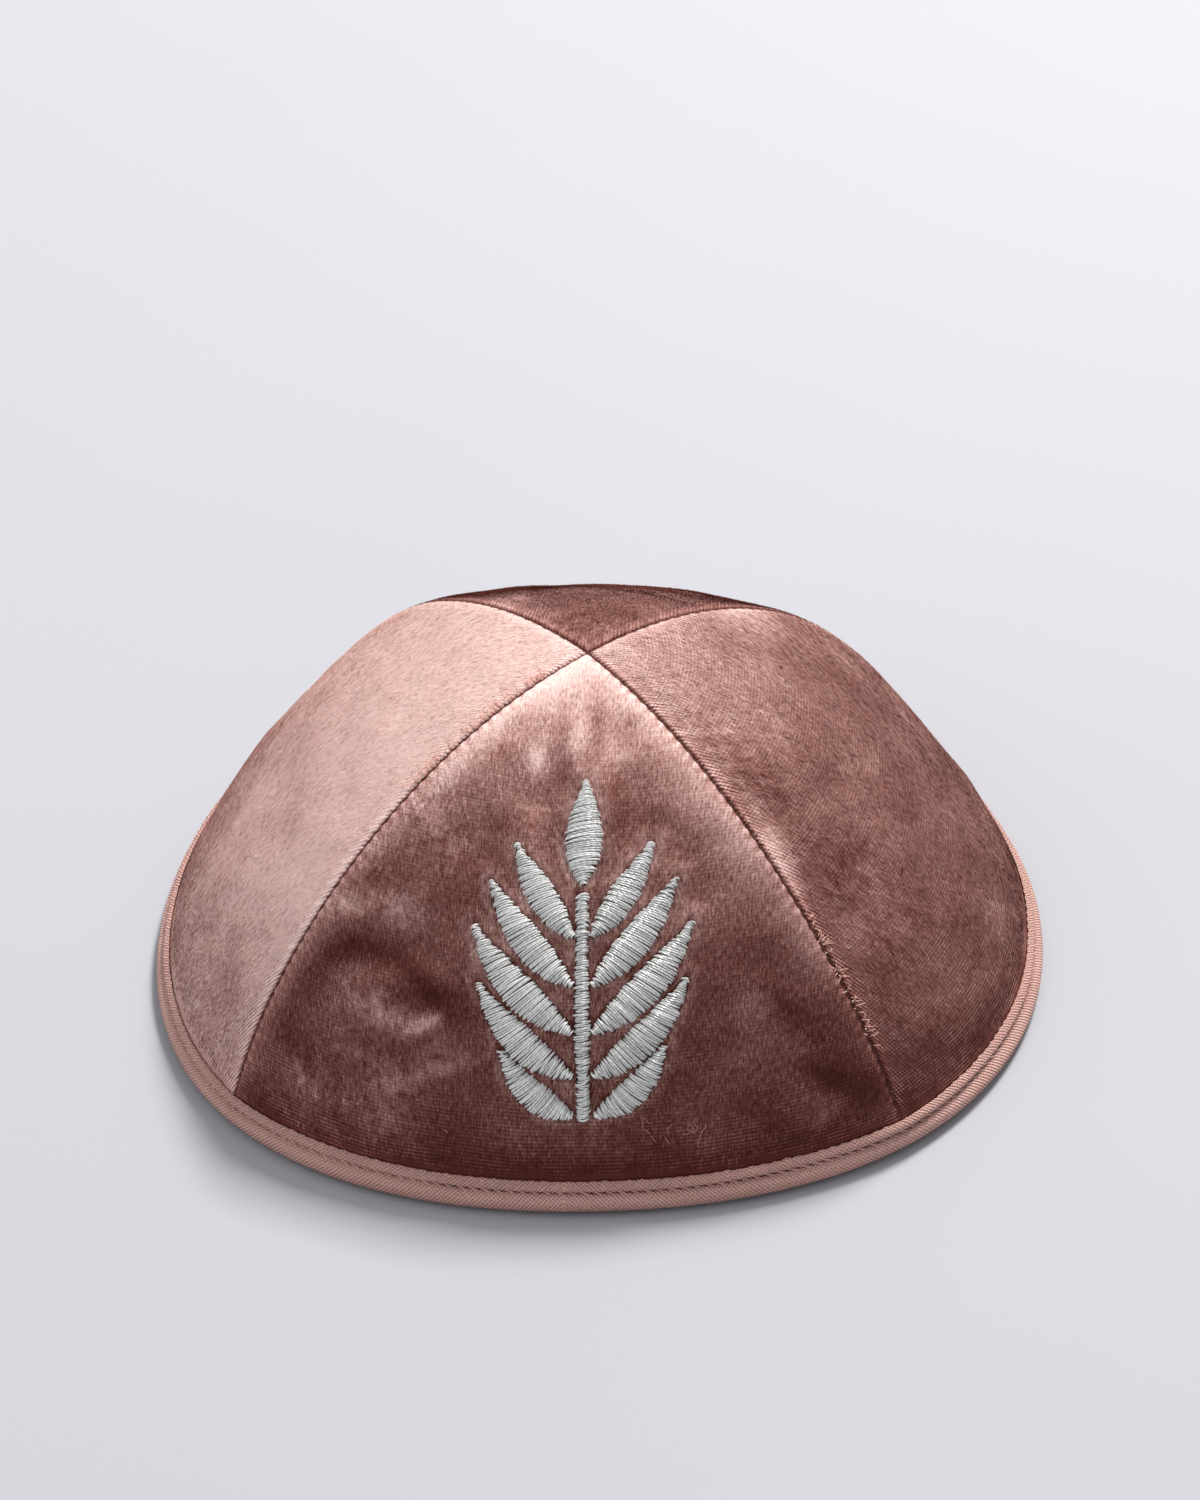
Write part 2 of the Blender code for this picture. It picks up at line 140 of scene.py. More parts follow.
# Where the pile is painted lighter (or darker, below nought) than the rest of its gore, and how
# ruffled it is there: brushed patches, painted shade in folds, in creases and along the foot, and
# painted highlights on ridges. Places and sizes are given as the dents' are
BRUSHED_AND_SHADED = table_of(
    "gore across up long wide turn lift ruffle",
    (0, -0.350, 0.437, 0.040, 0.020, 70, 0.24, 1.0),
    (0, -0.255, 0.450, 0.040, 0.028, 80, 0.32, 1.0),
    (0, -0.302, 0.490, 0.032, 0.028, 80, -0.14, 1.0),
    (0, -0.215, 0.590, 0.070, 0.080, 30, 0.00, 0.9),
    (0, -0.185, 0.700, 0.060, 0.022, 30, 0.20, 0.7),
    (0, -0.056, 0.742, 0.028, 0.018, 0, 0.48, 0.6),
    (0, 0.066, 0.745, 0.030, 0.034, 0, 0.15, 0.4),
    (0, -0.117, 0.742, 0.032, 0.020, 20, -0.13, 0.4),
    (0, -0.121, 0.810, 0.040, 0.016, 20, 0.14, 0.2),
    (0, -0.018, 0.808, 0.030, 0.020, 0, -0.18, 0.1),
    (0, 0.080, 0.808, 0.034, 0.024, -20, -0.16, 0.1),
    (0, -0.450, 0.222, 0.060, 0.022, 17, -0.10, 0.0),
    (0, -0.402, 0.310, 0.055, 0.022, 31, -0.20, 0.0),
    (0, -0.352, 0.362, 0.038, 0.020, 54, -0.25, 0.0),
    (0, -0.290, 0.372, 0.040, 0.022, 96, -0.30, 0.0),
    (0, -0.236, 0.356, 0.036, 0.020, 120, -0.22, 0.0),
    (0, -0.192, 0.318, 0.034, 0.021, 146, -0.18, 0.0),
    (0, -0.300, 0.292, 0.032, 0.070, 10, 0.34, 1.0),
    (0, -0.212, 0.284, 0.034, 0.011, 54, 0.46, 0.4),
    (0, -0.232, 0.248, 0.060, 0.011, 60, -0.17, 0.0),
    (0, -0.200, 0.207, 0.064, 0.013, 66, 0.26, 1.0),
    (0, -0.308, 0.205, 0.024, 0.060, 0, 0.12, 0.8),
    (0, -0.428, 0.134, 0.040, 0.045, 0, 0.24, 0.8),
    (0, -0.330, 0.120, 0.060, 0.110, 0, 0.12, 0.8),
    (0, -0.262, 0.178, 0.026, 0.040, 0, 0.14, 0.8),
    (0, 0.060, 0.035, 0.034, 0.400, 0, -0.20, 0.0),
    (0, 0.050, 0.100, 0.030, 0.080, 0, 0.05, 0.6),
    (0, 0.200, 0.680, 0.100, 0.060, -30, 0.14, 0.0),
    (0, 0.290, 0.550, 0.120, 0.045, -28, 0.13, 0.0),
    (0, 0.390, 0.400, 0.080, 0.034, -34, 0.17, 0.0),
    (0, 0.312, 0.307, 0.032, 0.030, 0, 0.14, 0.2),
    (0, 0.362, 0.300, 0.060, 0.017, -40, -0.18, 0.0),
    (0, 0.385, 0.225, 0.040, 0.014, -58, 0.18, 0.4),
    (0, 0.446, 0.158, 0.060, 0.019, -48, -0.38, 0.0),
    (0, 0.515, 0.132, 0.045, 0.030, -48, -0.26, 0.0),
    (0, 0.430, 0.100, 0.024, 0.040, 0, 0.14, 0.4),
    (0, 0.105, 0.640, 0.060, 0.035, -20, -0.08, 0.1),
    (0, -0.080, 0.660, 0.060, 0.030, 24, -0.08, 0.2),
    (0, 0.004, 0.775, 0.050, 0.012, -4, 0.22, 0.0),
    (0, 0.034, 0.820, 0.060, 0.012, -6, -0.24, 0.0),
    (1, -0.480, 0.120, 0.100, 0.120, 0, -0.08, 0.3),
    (1, 0.380, 0.330, 0.200, 0.120, -10, 0.09, 0.0),
    (1, -0.040, 0.688, 0.050, 0.040, 30, 0.12, 1.0),
    (1, -0.205, 0.650, 0.130, 0.030, 26, -0.16, 0.8),
    (1, -0.322, 0.555, 0.110, 0.018, 40, 0.34, 0.4),
    (1, -0.125, 0.625, 0.040, 0.030, 30, 0.10, 0.8),
    (1, 0.041, 0.588, 0.050, 0.040, 10, 0.14, 0.6),
    (1, -0.062, 0.524, 0.050, 0.040, 30, -0.04, 0.8),
    (1, -0.200, 0.740, 0.120, 0.080, 30, 0.05, 0.6),
    (1, 0.232, 0.672, 0.110, 0.050, -42, 0.26, 0.2),
    (1, 0.040, 0.905, 0.030, 0.030, 0, -0.12, 0.2),
    (1, -0.300, 0.460, 0.060, 0.050, 40, -0.08, 0.8),
    (1, -0.262, 0.412, 0.030, 0.030, 30, 0.10, 0.8),
    (1, -0.345, 0.340, 0.080, 0.034, 30, -0.08, 0.8),
    (1, -0.262, 0.300, 0.040, 0.034, 30, -0.12, 0.6),
    (1, 0.094, 0.363, 0.050, 0.060, 0, 0.14, 0.0),
    (1, -0.450, 0.245, 0.050, 0.030, 30, -0.12, 0.4),
    (1, 0.020, 0.135, 0.055, 0.260, 0, 0.10, 0.0),
    (2, 0.000, 0.930, 0.060, 0.200, 0, -0.02, 1.0),
    (2, 0.041, 0.890, 0.030, 0.030, 0, -0.14, 0.6),
    (2, -0.072, 0.860, 0.030, 0.030, 0, -0.12, 0.6),
    (2, 0.132, 0.765, 0.050, 0.040, -20, 0.30, 0.4),
    (2, -0.090, 0.660, 0.090, 0.150, 0, 0.14, 0.0),
    (3, 0.330, 0.450, 0.220, 0.090, -36, 0.05, 0.0),
    (3, -0.200, 0.250, 0.140, 0.100, 20, -0.06, 0.0),
    (3, 0.150, 0.225, 0.080, 0.090, 0, 0.16, 0.2),
    (3, 0.142, 0.552, 0.050, 0.050, 0, 0.12, 0.0),
    (3, 0.380, 0.080, 0.050, 0.060, 0, 0.12, 0.0),
    (3, 0.440, 0.140, 0.040, 0.036, 0, -0.12, 0.0),
    (3, 0.287, 0.307, 0.070, 0.060, 0, 0.14, 0.0),
    (3, 0.113, 0.706, 0.060, 0.060, 0, 0.10, 0.0),
)
# Cut ends along the seams: the way they lie is the angle from square to the seam, in radians, and
# the stretch of seam is given as shares of the gore's length
SEAM_FRAYS = table_of(
    "gore side fibres up long way",
    (0, 1, 14, (0.22, 0.42), (0.0005, 0.0011), (-1.2, 0.9)),
    (1, -1, 34, (0.20, 0.46), (0.0007, 0.0018), (-1.0, 0.8)),
    (1, -1, 22, (0.46, 0.68), (0.0005, 0.0011), (-1.0, 0.4)),
    (3, 1, 90, (0.66, 0.93), (0.0008, 0.0015), (-0.9, -0.3)),
)

# How the cloth's form is pulled about
EVEN_COLUMNS = 0.25  # how far the mesh's columns are evenly spaced; the rest crowd at the seams
FREE_HEIGHT = 0.6  # how far above the binding the cloth is quite free of it, in its heights
SEAM_SINK = 0.00060
SEAM_ROLL = 0.00045  # how far from the seam the cloth rolls in
SEAM_PUCKER = 0.00020
SEAM_PITCH = 0.0024
SEAM_FIRST = 0.008  # the stitches' start above the floor, and their end before the apex
SEAM_LAST = 0.006
SEAM_THREAD = 0.00011
SEAM_STITCH = table_of(
    "step depth",
    (0.00, 0.0006), (0.12, 0.0001), (0.50, -0.0001), (0.85, 0.0001), (0.97, 0.0006),
)
PUCKER_REACH = 0.0022
PUCKER_SLANT = 0.9
SEAM_CALM = 0.006  # how far from a seam, and from the apex, ripples are still small
APEX_CALM = 0.012
RIPPLE = 0.00016  # unevenness of the cloth
LARGE_RIPPLE = 0.012  # the sizes of its bumps
SMALL_RIPPLE = 0.005
SMALL_SHARE = 0.35  # how deep the small ones are beside the large
HOLLOW_DEPTH = 0.00040  # how far stitching pulls the velvet down
HOLLOW_WIDTH = 0.0009
RIDGE_SHARE = 0.7  # the swell round the hollow, and its place in the hollow's widths
RIDGE_PLACE = 2.4
SWELL_SIZE = 0.004  # unevenness of the swell
STITCH_REACH = 0.012  # how far from stitching its effect is worked out
CLOTH_STEP = 0.5  # sets the gores' flat cloths apart, so that their grain differs
NOUGHT = 1e-12  # the least length that a vector is divided by

# How light the pile is painted: its own unevenness, and painted light and shade
PAINTED_SLOPE_SHADE = 0.6  # painted shade: how much lighter a slope that faces up is painted than one that faces down
STEEPEST = 0.25  # slopes past this look no lighter or darker
PATCH_TONE = 0.045  # unevenness of the brushing
PATCH_SIZE = 0.013
SEAM_HIGHLIGHT_WIDTH = 0.0056  # how far from a seam its painted highlight reaches
FOLD_HIGHLIGHT = 0.09  # painted highlight where the cloth rolls into a seam
FOLD_PLACE = 0.0010
FOLD_WIDTH = 0.0005
PUCKER_SHADE = 0.16  # painted shade in each stitch's pucker beside a seam
PINCH_REACH = 0.0013
PINCH_FROM = 0.55  # above this share of the gore, its own pinch is added
CREVICE_SHADE = 0.5  # painted shade down in the seam itself
CREVICE_REACH = 0.0003
HALO_HIGHLIGHT_AND_SHADE = 0.15  # painted highlight on the pile that the stitches push up, and painted shade close beside them
HALO_PLACE = 0.0013
HALO_WIDTH = 0.0008
HALO_INNER = 0.0005
RING_SHADE = 0.15  # painted shade on the pile a little way off
RING_PLACE = 0.0040
RING_WIDTH = 0.0024
RING_FROM = 0.36  # the shares of the gore where the ring starts and is full
RING_FULL = 0.76
SEWN_RUFFLE = 0.8  # how ruffled the pile is beside stitching
RUFFLE_REACH = 0.002
TONE_MOST = 1.1
TRIM_WIDTH = 0.0012  # the pile is short this far from a seam, and grows over the next stretch
TRIM_FADE = 0.0030
WARP_REACH = 0.006  # how far from a seam, and up the gore, the weave shows more
WEFT_REACH = 0.13

# The pile's fibres
PILE_LENGTH = 0.0015
PILE_WIDTH = 0.00018
PILE_PER_M2 = 15.0e6
PILE_LIFT = 0.12  # rise of a lying fibre over its length
FIBRE_LIFT = (-0.06, 0.12)  # what each fibre adds to it
FIBRE_SWAY = 0.12
FIBRE_ROLL = 0.5
FIBRE_LONG = (0.65, 1.2)  # its share of the pile's length
PILE_START = 0.2  # how free of the binding the cloth is where the pile starts
PILE_GAP = 0.00028  # bare strip beside a seam
SPRIG_GAP = 0.00060  # bare strip round the sprig
CROWD_REACH = 0.0026  # how far from the sprig its stitches push fibres up
CROWD_LIFT = 0.8
CLUMP_SCALE = 620.0  # noise that turns fibres aside: in small clumps and in wide waves
WAVE_SCALE = 190.0
WARP_PITCH = 0.00064
WEFT_PITCH = 0.00068
BACKING_PITCH = 0.0007
VELVET_TONES = (
    (0.00, (0.092, 0.017, 0.011)),
    (0.22, (0.180, 0.050, 0.037)),
    (0.45, (0.350, 0.148, 0.120)),
    (0.68, (0.610, 0.345, 0.298)),
    (0.86, (0.850, 0.570, 0.505)),
    (1.00, (0.990, 0.765, 0.695)),
)
VELVET_GRAIN = table_of(
    "kind wide long detail roughness",
    ("streak", 0.00034, 0.0013, 2.0, 0.6),
    ("slub", 0.0050, 0.0008, 2.0, 0.6),
    ("clump", 0.0019, 0.0042, 3.0, 0.6),
    ("patch", 0.0050, 0.0050, 2.0, 0.5),
)

# The folded tape and its topstitching
TAPE_STITCH = 0.0023
RIB_PITCH = 0.00060
YARN_PITCH = 0.00050
RIB_COSINE = 0.74  # the ribs' slant
RIB_SINE = 0.67
TAPE_GROOVE = 0.665  # its place up the binding
STATIONS_PER_STITCH = 4
TAPE_CHEVRON = 0.63  # where round the rim its ribs turn the other way, as a share
# Its outline, as shares of the binding's height and bulge
TAPE_ROLL = 0.335
LIP_PLACE = 0.845
LIP_HALF = 0.180
LIP_OUT = 0.80
GROOVE_OUT = 0.22
GROOVE_STEP = 0.020
LOW_LINES = (0, 0.62, 12)  # the first and last of its lines under the groove, and how many
HIGH_LINES = (0.72, 1.0, 7)
FOLD_UP = 1.01  # where its upper edge turns in
FOLD_OUT = 0.30
# How topstitches pinch it, and how uneven it is
PINCH_DEPTH = 0.00022
PINCH_WIDTH = 0.11
PINCH_SLANT = 3.0
LIP_PINCH = 0.00014
LIP_UNEVEN = 0.00005
TAPE_WAVE = 0.00010
TAPE_WAVE_SIZE = 0.02
TAPE_WAVE_RADIUS = 0.09
EDGE_UNEVEN = 0.00012
EDGE_SCALLOP = 0.00008
EDGE_START = 0.6  # the share of its height above which its upper edge wavers
LIP_RISE = 0.08
# Painted shade in the groove and its stitch holes, and how dark it is: the holes gape most on the
# right
GAPE = 0.50
GAPE_RIGHT = 0.55
GAPE_UNEVEN = 0.25
GAPE_SIZE = 0.012
GAPE_LEAST = 0.22
GAPE_MIDDLE = 1.3  # where the right is, in gores from the front left seam
GROOVE_SHADE_WIDTH = 0.035
# Painted shade at the tape's foot and a painted highlight on its roll (dark below nought), placed
# and sized as shares of its height
TAPE_LIGHT_AND_SHADE = table_of(
    "dark width place",
    (0.28, 0.22, 0.00),
    (-0.10, 0.12, 0.48),
)
# The tape's inner lay from its top to its foot: its height as a share of the binding's, and how
# far in its face is, as a share of the tape's thickness
INNER_LAY = table_of(
    "up inwards",
    (1.01, 0.35), (0.95, 0.90), (0.80, 1.05), (0.66, 0.80),
    (0.45, 1.05), (0.20, 1.10), (0.07, 0.85), (0.00, 0.45),
)
# A topstitch: how far along the stitch, up the tape from the groove, and out of it
TOPSTITCH = table_of(
    "step up out",
    (-4, 0.075, 0.00005), (0, 0.060, 0.00030), (8, 0.022, 0.00022),
    (18, -0.022, 0.00022), (26, -0.060, 0.00034), (30, -0.075, 0.00010),
)
TOPSTITCH_STEPS = 40
TOPSTITCH_UNEVEN = 0.006
TOPSTITCH_RADIUS = 0.00021

# The sprig
SPRIG_HEIGHT = 0.0625
SPRIG_START = 0.0175
SPRIG_TURN = math.radians(-1.8)
SPRIG_ACROSS = 0.0050
STITCH_RISE = 0.0009
STITCH_EDGE = 0.3  # the stitches' rise at a leaf's edge, as a share
PADDING_ENDS = 0.015  # how much shorter and narrower the padding is than its leaf
PADDING_SIDES = 0.06
PADDING_DEPTH = 0.8  # how deep it goes, as a share of the hollow
LEAF_PAIRS = table_of(
    "root out lean curl long wide",
    (0.010, 0.032, 73, 52, 0.290, 0.074),
    (0.125, 0.030, 67, 42, 0.385, 0.086),
    (0.252, 0.028, 61, 34, 0.420, 0.090),
    (0.388, 0.027, 53, 28, 0.385, 0.086),
    (0.528, 0.026, 43, 22, 0.320, 0.078),
)
UPRIGHTS = table_of(
    "node root long wide least",
    ("sprig_stem", 0.000, 0.655, 0.034, 0.75),
    ("sprig_top_leaf", 0.680, 0.320, 0.098, 0.10),
)
LEAF_LEAST = 0.12
LEAF_FULLNESS = 0.85
SATIN_PITCH = 0.00043
SATIN_RADIUS = 0.00021
SATIN_SLANT = 0.16  # how far along the leaf a stitch runs, as a share of the leaf's width
SATIN_DIP = 0.00045  # how deep its ends go under the skin
SATIN_ACROSS = (-1.05, -0.96, -0.66, -0.24, 0.24, 0.66, 0.96, 1.05)  # a stitch's points
SATIN_PAST = (-0.00012, 0.00046)  # how far a stitch's end may run past the leaf's edge
SATIN_ASKEW = 0.22  # unevenness of the stitches, in pitches, and of their rise
SATIN_SHIFT = 0.08
SATIN_UNEVEN = 0.05

# Loose, curled fibres on the front gore
STRAYS = table_of(
    "across up fibres spread long",
    (0.150, 0.170, 5, 0.026, 0.0060),
    (0.205, 0.135, 4, 0.018, 0.0050),
    (-0.359, 0.244, 2, 0.003, 0.0014),
    (-0.240, 0.130, 3, 0.060, 0.0012),
)
STRAY_STEPS = 14
STRAY_CURL = (0.25, 0.5)  # how far it turns at each step, and how unevenly
STRAY_ARCHES = (1, 2.5)  # how often it rises from the pile
STRAY_HEIGHT = 0.00022
STRAY_RADIUS = 0.00004
FRAY_STEPS = 8
FRAY_HEIGHT = (0.0003, 0.0006)
FRAY_ROOT = 0.0002  # how deep it starts, and how far from the seam
FRAY_GAP = 0.0001
FRAY_ARCH = 0.8
FRAY_RADIUS = 0.000085
FRAY_BEND = 0.35

# The lamps, which all point at the origin, in watts
LAMPS = table_of(
    "name place size watts colour",
    ("key", (0.63, 1.14, 1.68), 0.54, 56.0, (1.0, 0.99, 0.98)),
    ("fill", (-1.00, -0.60, 1.00), 1.2, 3.5, (0.97, 0.98, 1.0)),
)
ROOM_COLOUR = (0.86, 0.89, 0.95, 1.0)
ROOM_STRENGTH = 0.52
FLOOR_HALF = 8.0
FLOOR_HEIGHT = -0.0011

FRONT = 0
LINE_SAMPLES = 400
TURN = 2 * math.pi


class Wire:
    """An output socket that can stand in an expression. Each operator adds a Math node."""

    def __init__(self, tree, socket):
        self.tree, self.socket = tree, socket

    def maths(self, operation, other=0.0, swapped=False):
        first, second = (other, self) if swapped else (self, other)
        return self.tree.node("ShaderNodeMath", {"operation": operation}, {0: first, 1: second})

    def __add__(self, other):
        return self.maths("ADD", other)

    def __sub__(self, other):
        return self.maths("SUBTRACT", other)

    def __rsub__(self, other):
        return self.maths("SUBTRACT", other, swapped=True)

    def __mul__(self, other):
        return self.maths("MULTIPLY", other)

    def __truediv__(self, other):
        return self.maths("DIVIDE", other)

    __radd__ = __add__
    __rmul__ = __mul__

    def output(self, name):
        return Wire(self.tree, self.socket.node.outputs[name])


class Tree:
    """A node tree with one method that adds any node."""

    def __init__(self, tree):
        self.tree = tree

    def node(self, kind, settings=None, inputs=None, output=0):
        made = self.tree.nodes.new(kind)
        for name, value in (settings or {}).items():
            if name == "stops":
                self.set_stops(made.color_ramp, value)
            else:
                setattr(made, name, value)
        for name, value in (inputs or {}).items():
            self.feed(made.inputs[name], value)
        return Wire(self, made.outputs[output])

    def feed(self, socket, value):
        if isinstance(value, Wire):
            self.tree.links.new(value.socket, socket)
        else:
            socket.default_value = value

    @staticmethod
    def set_stops(ramp, stops):
        while len(ramp.elements) < len(stops):
            ramp.elements.new(1.0)
        for element, (place, colour) in zip(ramp.elements, stops):
            element.position = place
            element.color = (*colour, 1.0)

    def vector(self, x, y, z=0.0):
        return self.node("ShaderNodeCombineXYZ", {}, {0: x, 1: y, 2: z})

    def vector_maths(self, operation, first, second):
        inputs = {0: first, "Scale" if operation == "SCALE" else 1: second}
        return self.node("ShaderNodeVectorMath", {"operation": operation}, inputs)

    def noise(self, vector, scale=1.0, detail=2.0, roughness=0.5):
        """Noise from about -0.5 to 0.5."""
        inputs = {"Vector": vector, "Scale": scale, "Detail": detail, "Roughness": roughness}
        return self.node("ShaderNodeTexNoise", {}, inputs) - 0.5


class Finish(Tree):
    """A material. What is the same all over it is set on the shader's own sockets."""

    def __init__(self, name, **constants):
        self.material = bpy.data.materials.new(name)
        self.material.use_nodes = True
        super().__init__(self.material.node_tree)
        self.shader = self.tree.nodes["Principled BSDF"]
        for socket, value in constants.items():
            self.shader.inputs[socket.replace("_", " ")].default_value = value

    def attribute(self, name, output="Fac"):
        return self.node("ShaderNodeAttribute", {"attribute_name": name}, {}, output)

    def cloth_place(self):
        """Across and along the flat cloth, in metres."""
        place = self.node("ShaderNodeSeparateXYZ", {}, {0: self.attribute("cloth", "Vector")})
        return place.output("X"), place.output("Y")

    def grain(self, across, along, wide, long, detail=2.0, roughness=0.5):
        """Noise on the flat cloth whose grains are that wide and long."""
        return self.noise(self.vector(across / wide, along / long), 1.0, detail, roughness)

    def ramp(self, value, stops):
        return self.node("ShaderNodeValToRGB", {"stops": stops}, {"Fac": value})

    def paint(self, **sockets):
        for socket, value in sockets.items():
            self.feed(self.shader.inputs[socket.replace("_", " ")], value)

    def bump(self, height, distance, strength=1.0):
        inputs = {"Height": height, "Distance": distance, "Strength": strength}
        self.paint(Normal=self.node("ShaderNodeBump", {}, inputs))


class Recipe(Tree):
    """A Geometry Nodes tree with named inputs. It is run on an object, and leaves a plain mesh."""

    def __init__(self, name, **inputs):
        super().__init__(bpy.data.node_groups.new(name, "GeometryNodeTree"))
        face = self.tree.interface
        face.new_socket("Geometry", in_out="INPUT", socket_type="NodeSocketGeometry")
        face.new_socket("Geometry", in_out="OUTPUT", socket_type="NodeSocketGeometry")
        self.keys = {}
        for label, kind in inputs.items():
            socket = face.new_socket(label, in_out="INPUT", socket_type=f"NodeSocket{kind}")
            self.keys[label] = socket.identifier
        self.start = self.tree.nodes.new("NodeGroupInput")
        self.end = self.tree.nodes.new("NodeGroupOutput")

    def given(self, label):
        return Wire(self, self.start.outputs[label])

    def named(self, name, kind="FLOAT"):
        return self.node("GeometryNodeInputNamedAttribute", {"data_type": kind}, {"Name": name})

    def store(self, geometry, name, value, domain="POINT"):
        settings = {"data_type": "FLOAT", "domain": domain}
        inputs = {"Geometry": geometry, "Name": name, "Value": value}
        return self.node("GeometryNodeStoreNamedAttribute", settings, inputs)

    def chance(self, low, high, seed):
        """A random number for each element."""
        inputs = {2: low, 3: high, "Seed": seed}
        return self.node("FunctionNodeRandomValue", {"data_type": "FLOAT"}, inputs, 1)

    def serve(self, geometry):
        """Ends the tree."""
        real = self.node("GeometryNodeRealizeInstances", {}, {0: geometry})
        inputs = {"Geometry": real, "Material": self.given("Material")}
        self.feed(self.end.inputs[0], self.node("GeometryNodeSetMaterial", {}, inputs))

    def run(self, obj, **values):
        modifier = obj.modifiers.new(self.tree.name, "NODES")
        modifier.node_group = self.tree
        for label, value in values.items():
            modifier[self.keys[label]] = value
        bpy.context.view_layer.update()
        graph = bpy.context.evaluated_depsgraph_get()
        mesh = bpy.data.meshes.new_from_object(
            obj.evaluated_get(graph), preserve_all_data_layers=True, depsgraph=graph
        )
        obj.modifiers.clear()
        obj.data = mesh
        mesh.name = obj.name
        return obj


def gore_edges(gore, rise):
    """Azimuths of a gore's two seams at a share of the cap's height, in radians."""
    left, right = SEAMS[gore], SEAMS[(gore + 1) % len(SEAMS)]
    past = TURN if right["azimuth"] < left["azimuth"] else 0.0
    return (
        np.radians(left["azimuth"] + left["turn"] * rise),
        np.radians(right["azimuth"] + right["turn"] * rise) + past,
    )


def crown_radius(gore, azimuth, rise):
    """Radius of the smooth outer skin."""
    first, last = gore_edges(gore, rise)
    middle, half = (first + last) / 2, (last - first) / 2
    profile = np.clip(1 - rise**UP_POWER, 0, 1) ** (1 / OUT_POWER)
    flat = FLATNESS * (1 - np.clip(1 - rise, 0, 1) ** FLATNESS_POWER)
    chord = np.cos(half) / np.cos(azimuth - middle)
    waves = 0.0
    for wave in RIM_WAVES:
        angle = wave["waves"] * azimuth
        waves = waves + (wave["cosine"] * np.cos(angle) + wave["sine"] * np.sin(angle))
    return RIM_RADIUS * profile * (1 - flat + flat * chord) * (1 + waves * (1 - rise))


def middle_line(gore):
    """(shares of the height, lengths from the floor) along a gore's middle line."""
    rise = np.sin(np.linspace(0, math.pi / 2, LINE_SAMPLES)) ** (2 / UP_POWER)
    radius = crown_radius(gore, sum(gore_edges(gore, rise)) / 2, rise)
    steps = np.hypot(np.diff(radius), np.diff(rise) * CAP_HEIGHT)
    return rise, np.concatenate([[0.0], np.cumsum(steps)])


MIDDLE_LINES = [middle_line(gore) for gore in range(len(GORES))]


def rise_at(gore, along):
    return np.interp(along, *reversed(MIDDLE_LINES[gore]))


def flat_place(gore, azimuth, rise):
    """Across and along the gore's cloth as it lies flat."""
    rises, lengths = MIDDLE_LINES[gore]
    middle = sum(gore_edges(gore, rise)) / 2
    across = (azimuth - middle) * crown_radius(gore, middle, rise)
    return across, np.interp(rise, rises, lengths)


def bells(table, gore, across, along, size):
    """Sum of a table's smooth bumps on a gore, each times its entry for that size."""
    length = MIDDLE_LINES[gore][1][-1]
    total = 0.0 * across
    for row in table:
        if row["gore"] == gore:
            turn = math.radians(row["turn"])
            x, y = across / length - row["across"], along / length - row["up"]
            lengthways = x * math.sin(turn) + y * math.cos(turn)
            sideways = x * math.cos(turn) - y * math.sin(turn)
            reach = (lengthways / row["long"]) ** 2 + (sideways / row["wide"]) ** 2
            total = total + row[size] * np.exp(-reach)
    return total


def dent_depth(gore, azimuth, rise):
    """How far the dents press the skin inwards."""
    across, along = flat_place(gore, azimuth, rise)
    first, last = gore_edges(gore, rise)
    beside = np.minimum(azimuth - first, last - azimuth) / (last - first)
    from_seam = np.clip(beside * DENT_GROWTH, 0, 1)
    from_binding = np.clip((rise * CAP_HEIGHT - BINDING_HEIGHT) / BINDING_HEIGHT, 0, 1)
    return WALL * bells(DENTS, gore, across, along, "depth") * from_seam * from_binding


def skin(gore, azimuth, rise, depth=0.0):
    """Points at a depth under the gore's outer skin."""
    binding = BINDING_HEIGHT / CAP_HEIGHT
    tilt = math.pi / 2 * np.clip((rise - binding) / (1 - binding), 0, 1)
    depth = depth + dent_depth(gore, azimuth, rise)
    radius = crown_radius(gore, azimuth, rise) - depth * np.cos(tilt)
    height = rise * CAP_HEIGHT - depth * np.sin(tilt)
    return np.stack(
        [radius * np.cos(azimuth), radius * np.sin(azimuth), height + 0 * radius], axis=-1
    ) - RIM_MIDDLE


def rim_middle():
    """Where the smooth crown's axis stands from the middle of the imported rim, negated."""
    outline = []
    share = np.linspace(0, 1, LINE_SAMPLES)
    for gore in range(len(GORES)):
        for row in ROLL_LINES:
            rise = row["up"] * BINDING_HEIGHT / CAP_HEIGHT
            first, last = gore_edges(gore, rise)
            azimuth = first + (last - first) * share
            radius = crown_radius(gore, azimuth, rise) + row["out"] * BINDING_BULGE
            outline.append(np.stack([radius * np.cos(azimuth), radius * np.sin(azimuth)], axis=-1))
    outline = np.concatenate(outline)
    return np.append((outline.min(axis=0) + outline.max(axis=0)) / 2, 0.0)


RIM_MIDDLE = rim_middle()


def on_gore(gore, across, along, height=0.0):
    """A point of the skin from its place on the flat cloth, and above it."""
    rise = rise_at(gore, along)
    middle = sum(gore_edges(gore, rise)) / 2
    return skin(gore, middle + across / crown_radius(gore, middle, rise), rise, -height)


def bell(value, width, middle=0.0):
    """A smooth bump that is 1 at the middle."""
    return np.exp(-(((value - middle) / width) ** 2))


def wander(x, y, size, seed, waves=14):
    """Smooth unevenness of about -1 to 1 with bumps of about that size."""
    chance = np.random.default_rng(seed)
    total = 0.0 * (x + y)
    for _ in range(waves):
        way, phase = chance.uniform(0, TURN), chance.uniform(0, TURN)
        pace = chance.uniform(0.6, 1.6)
        run = x * math.cos(way) + y * math.sin(way)
        total = total + np.cos(TURN * pace * run / size / 2 + phase)
    return total / math.sqrt(waves)


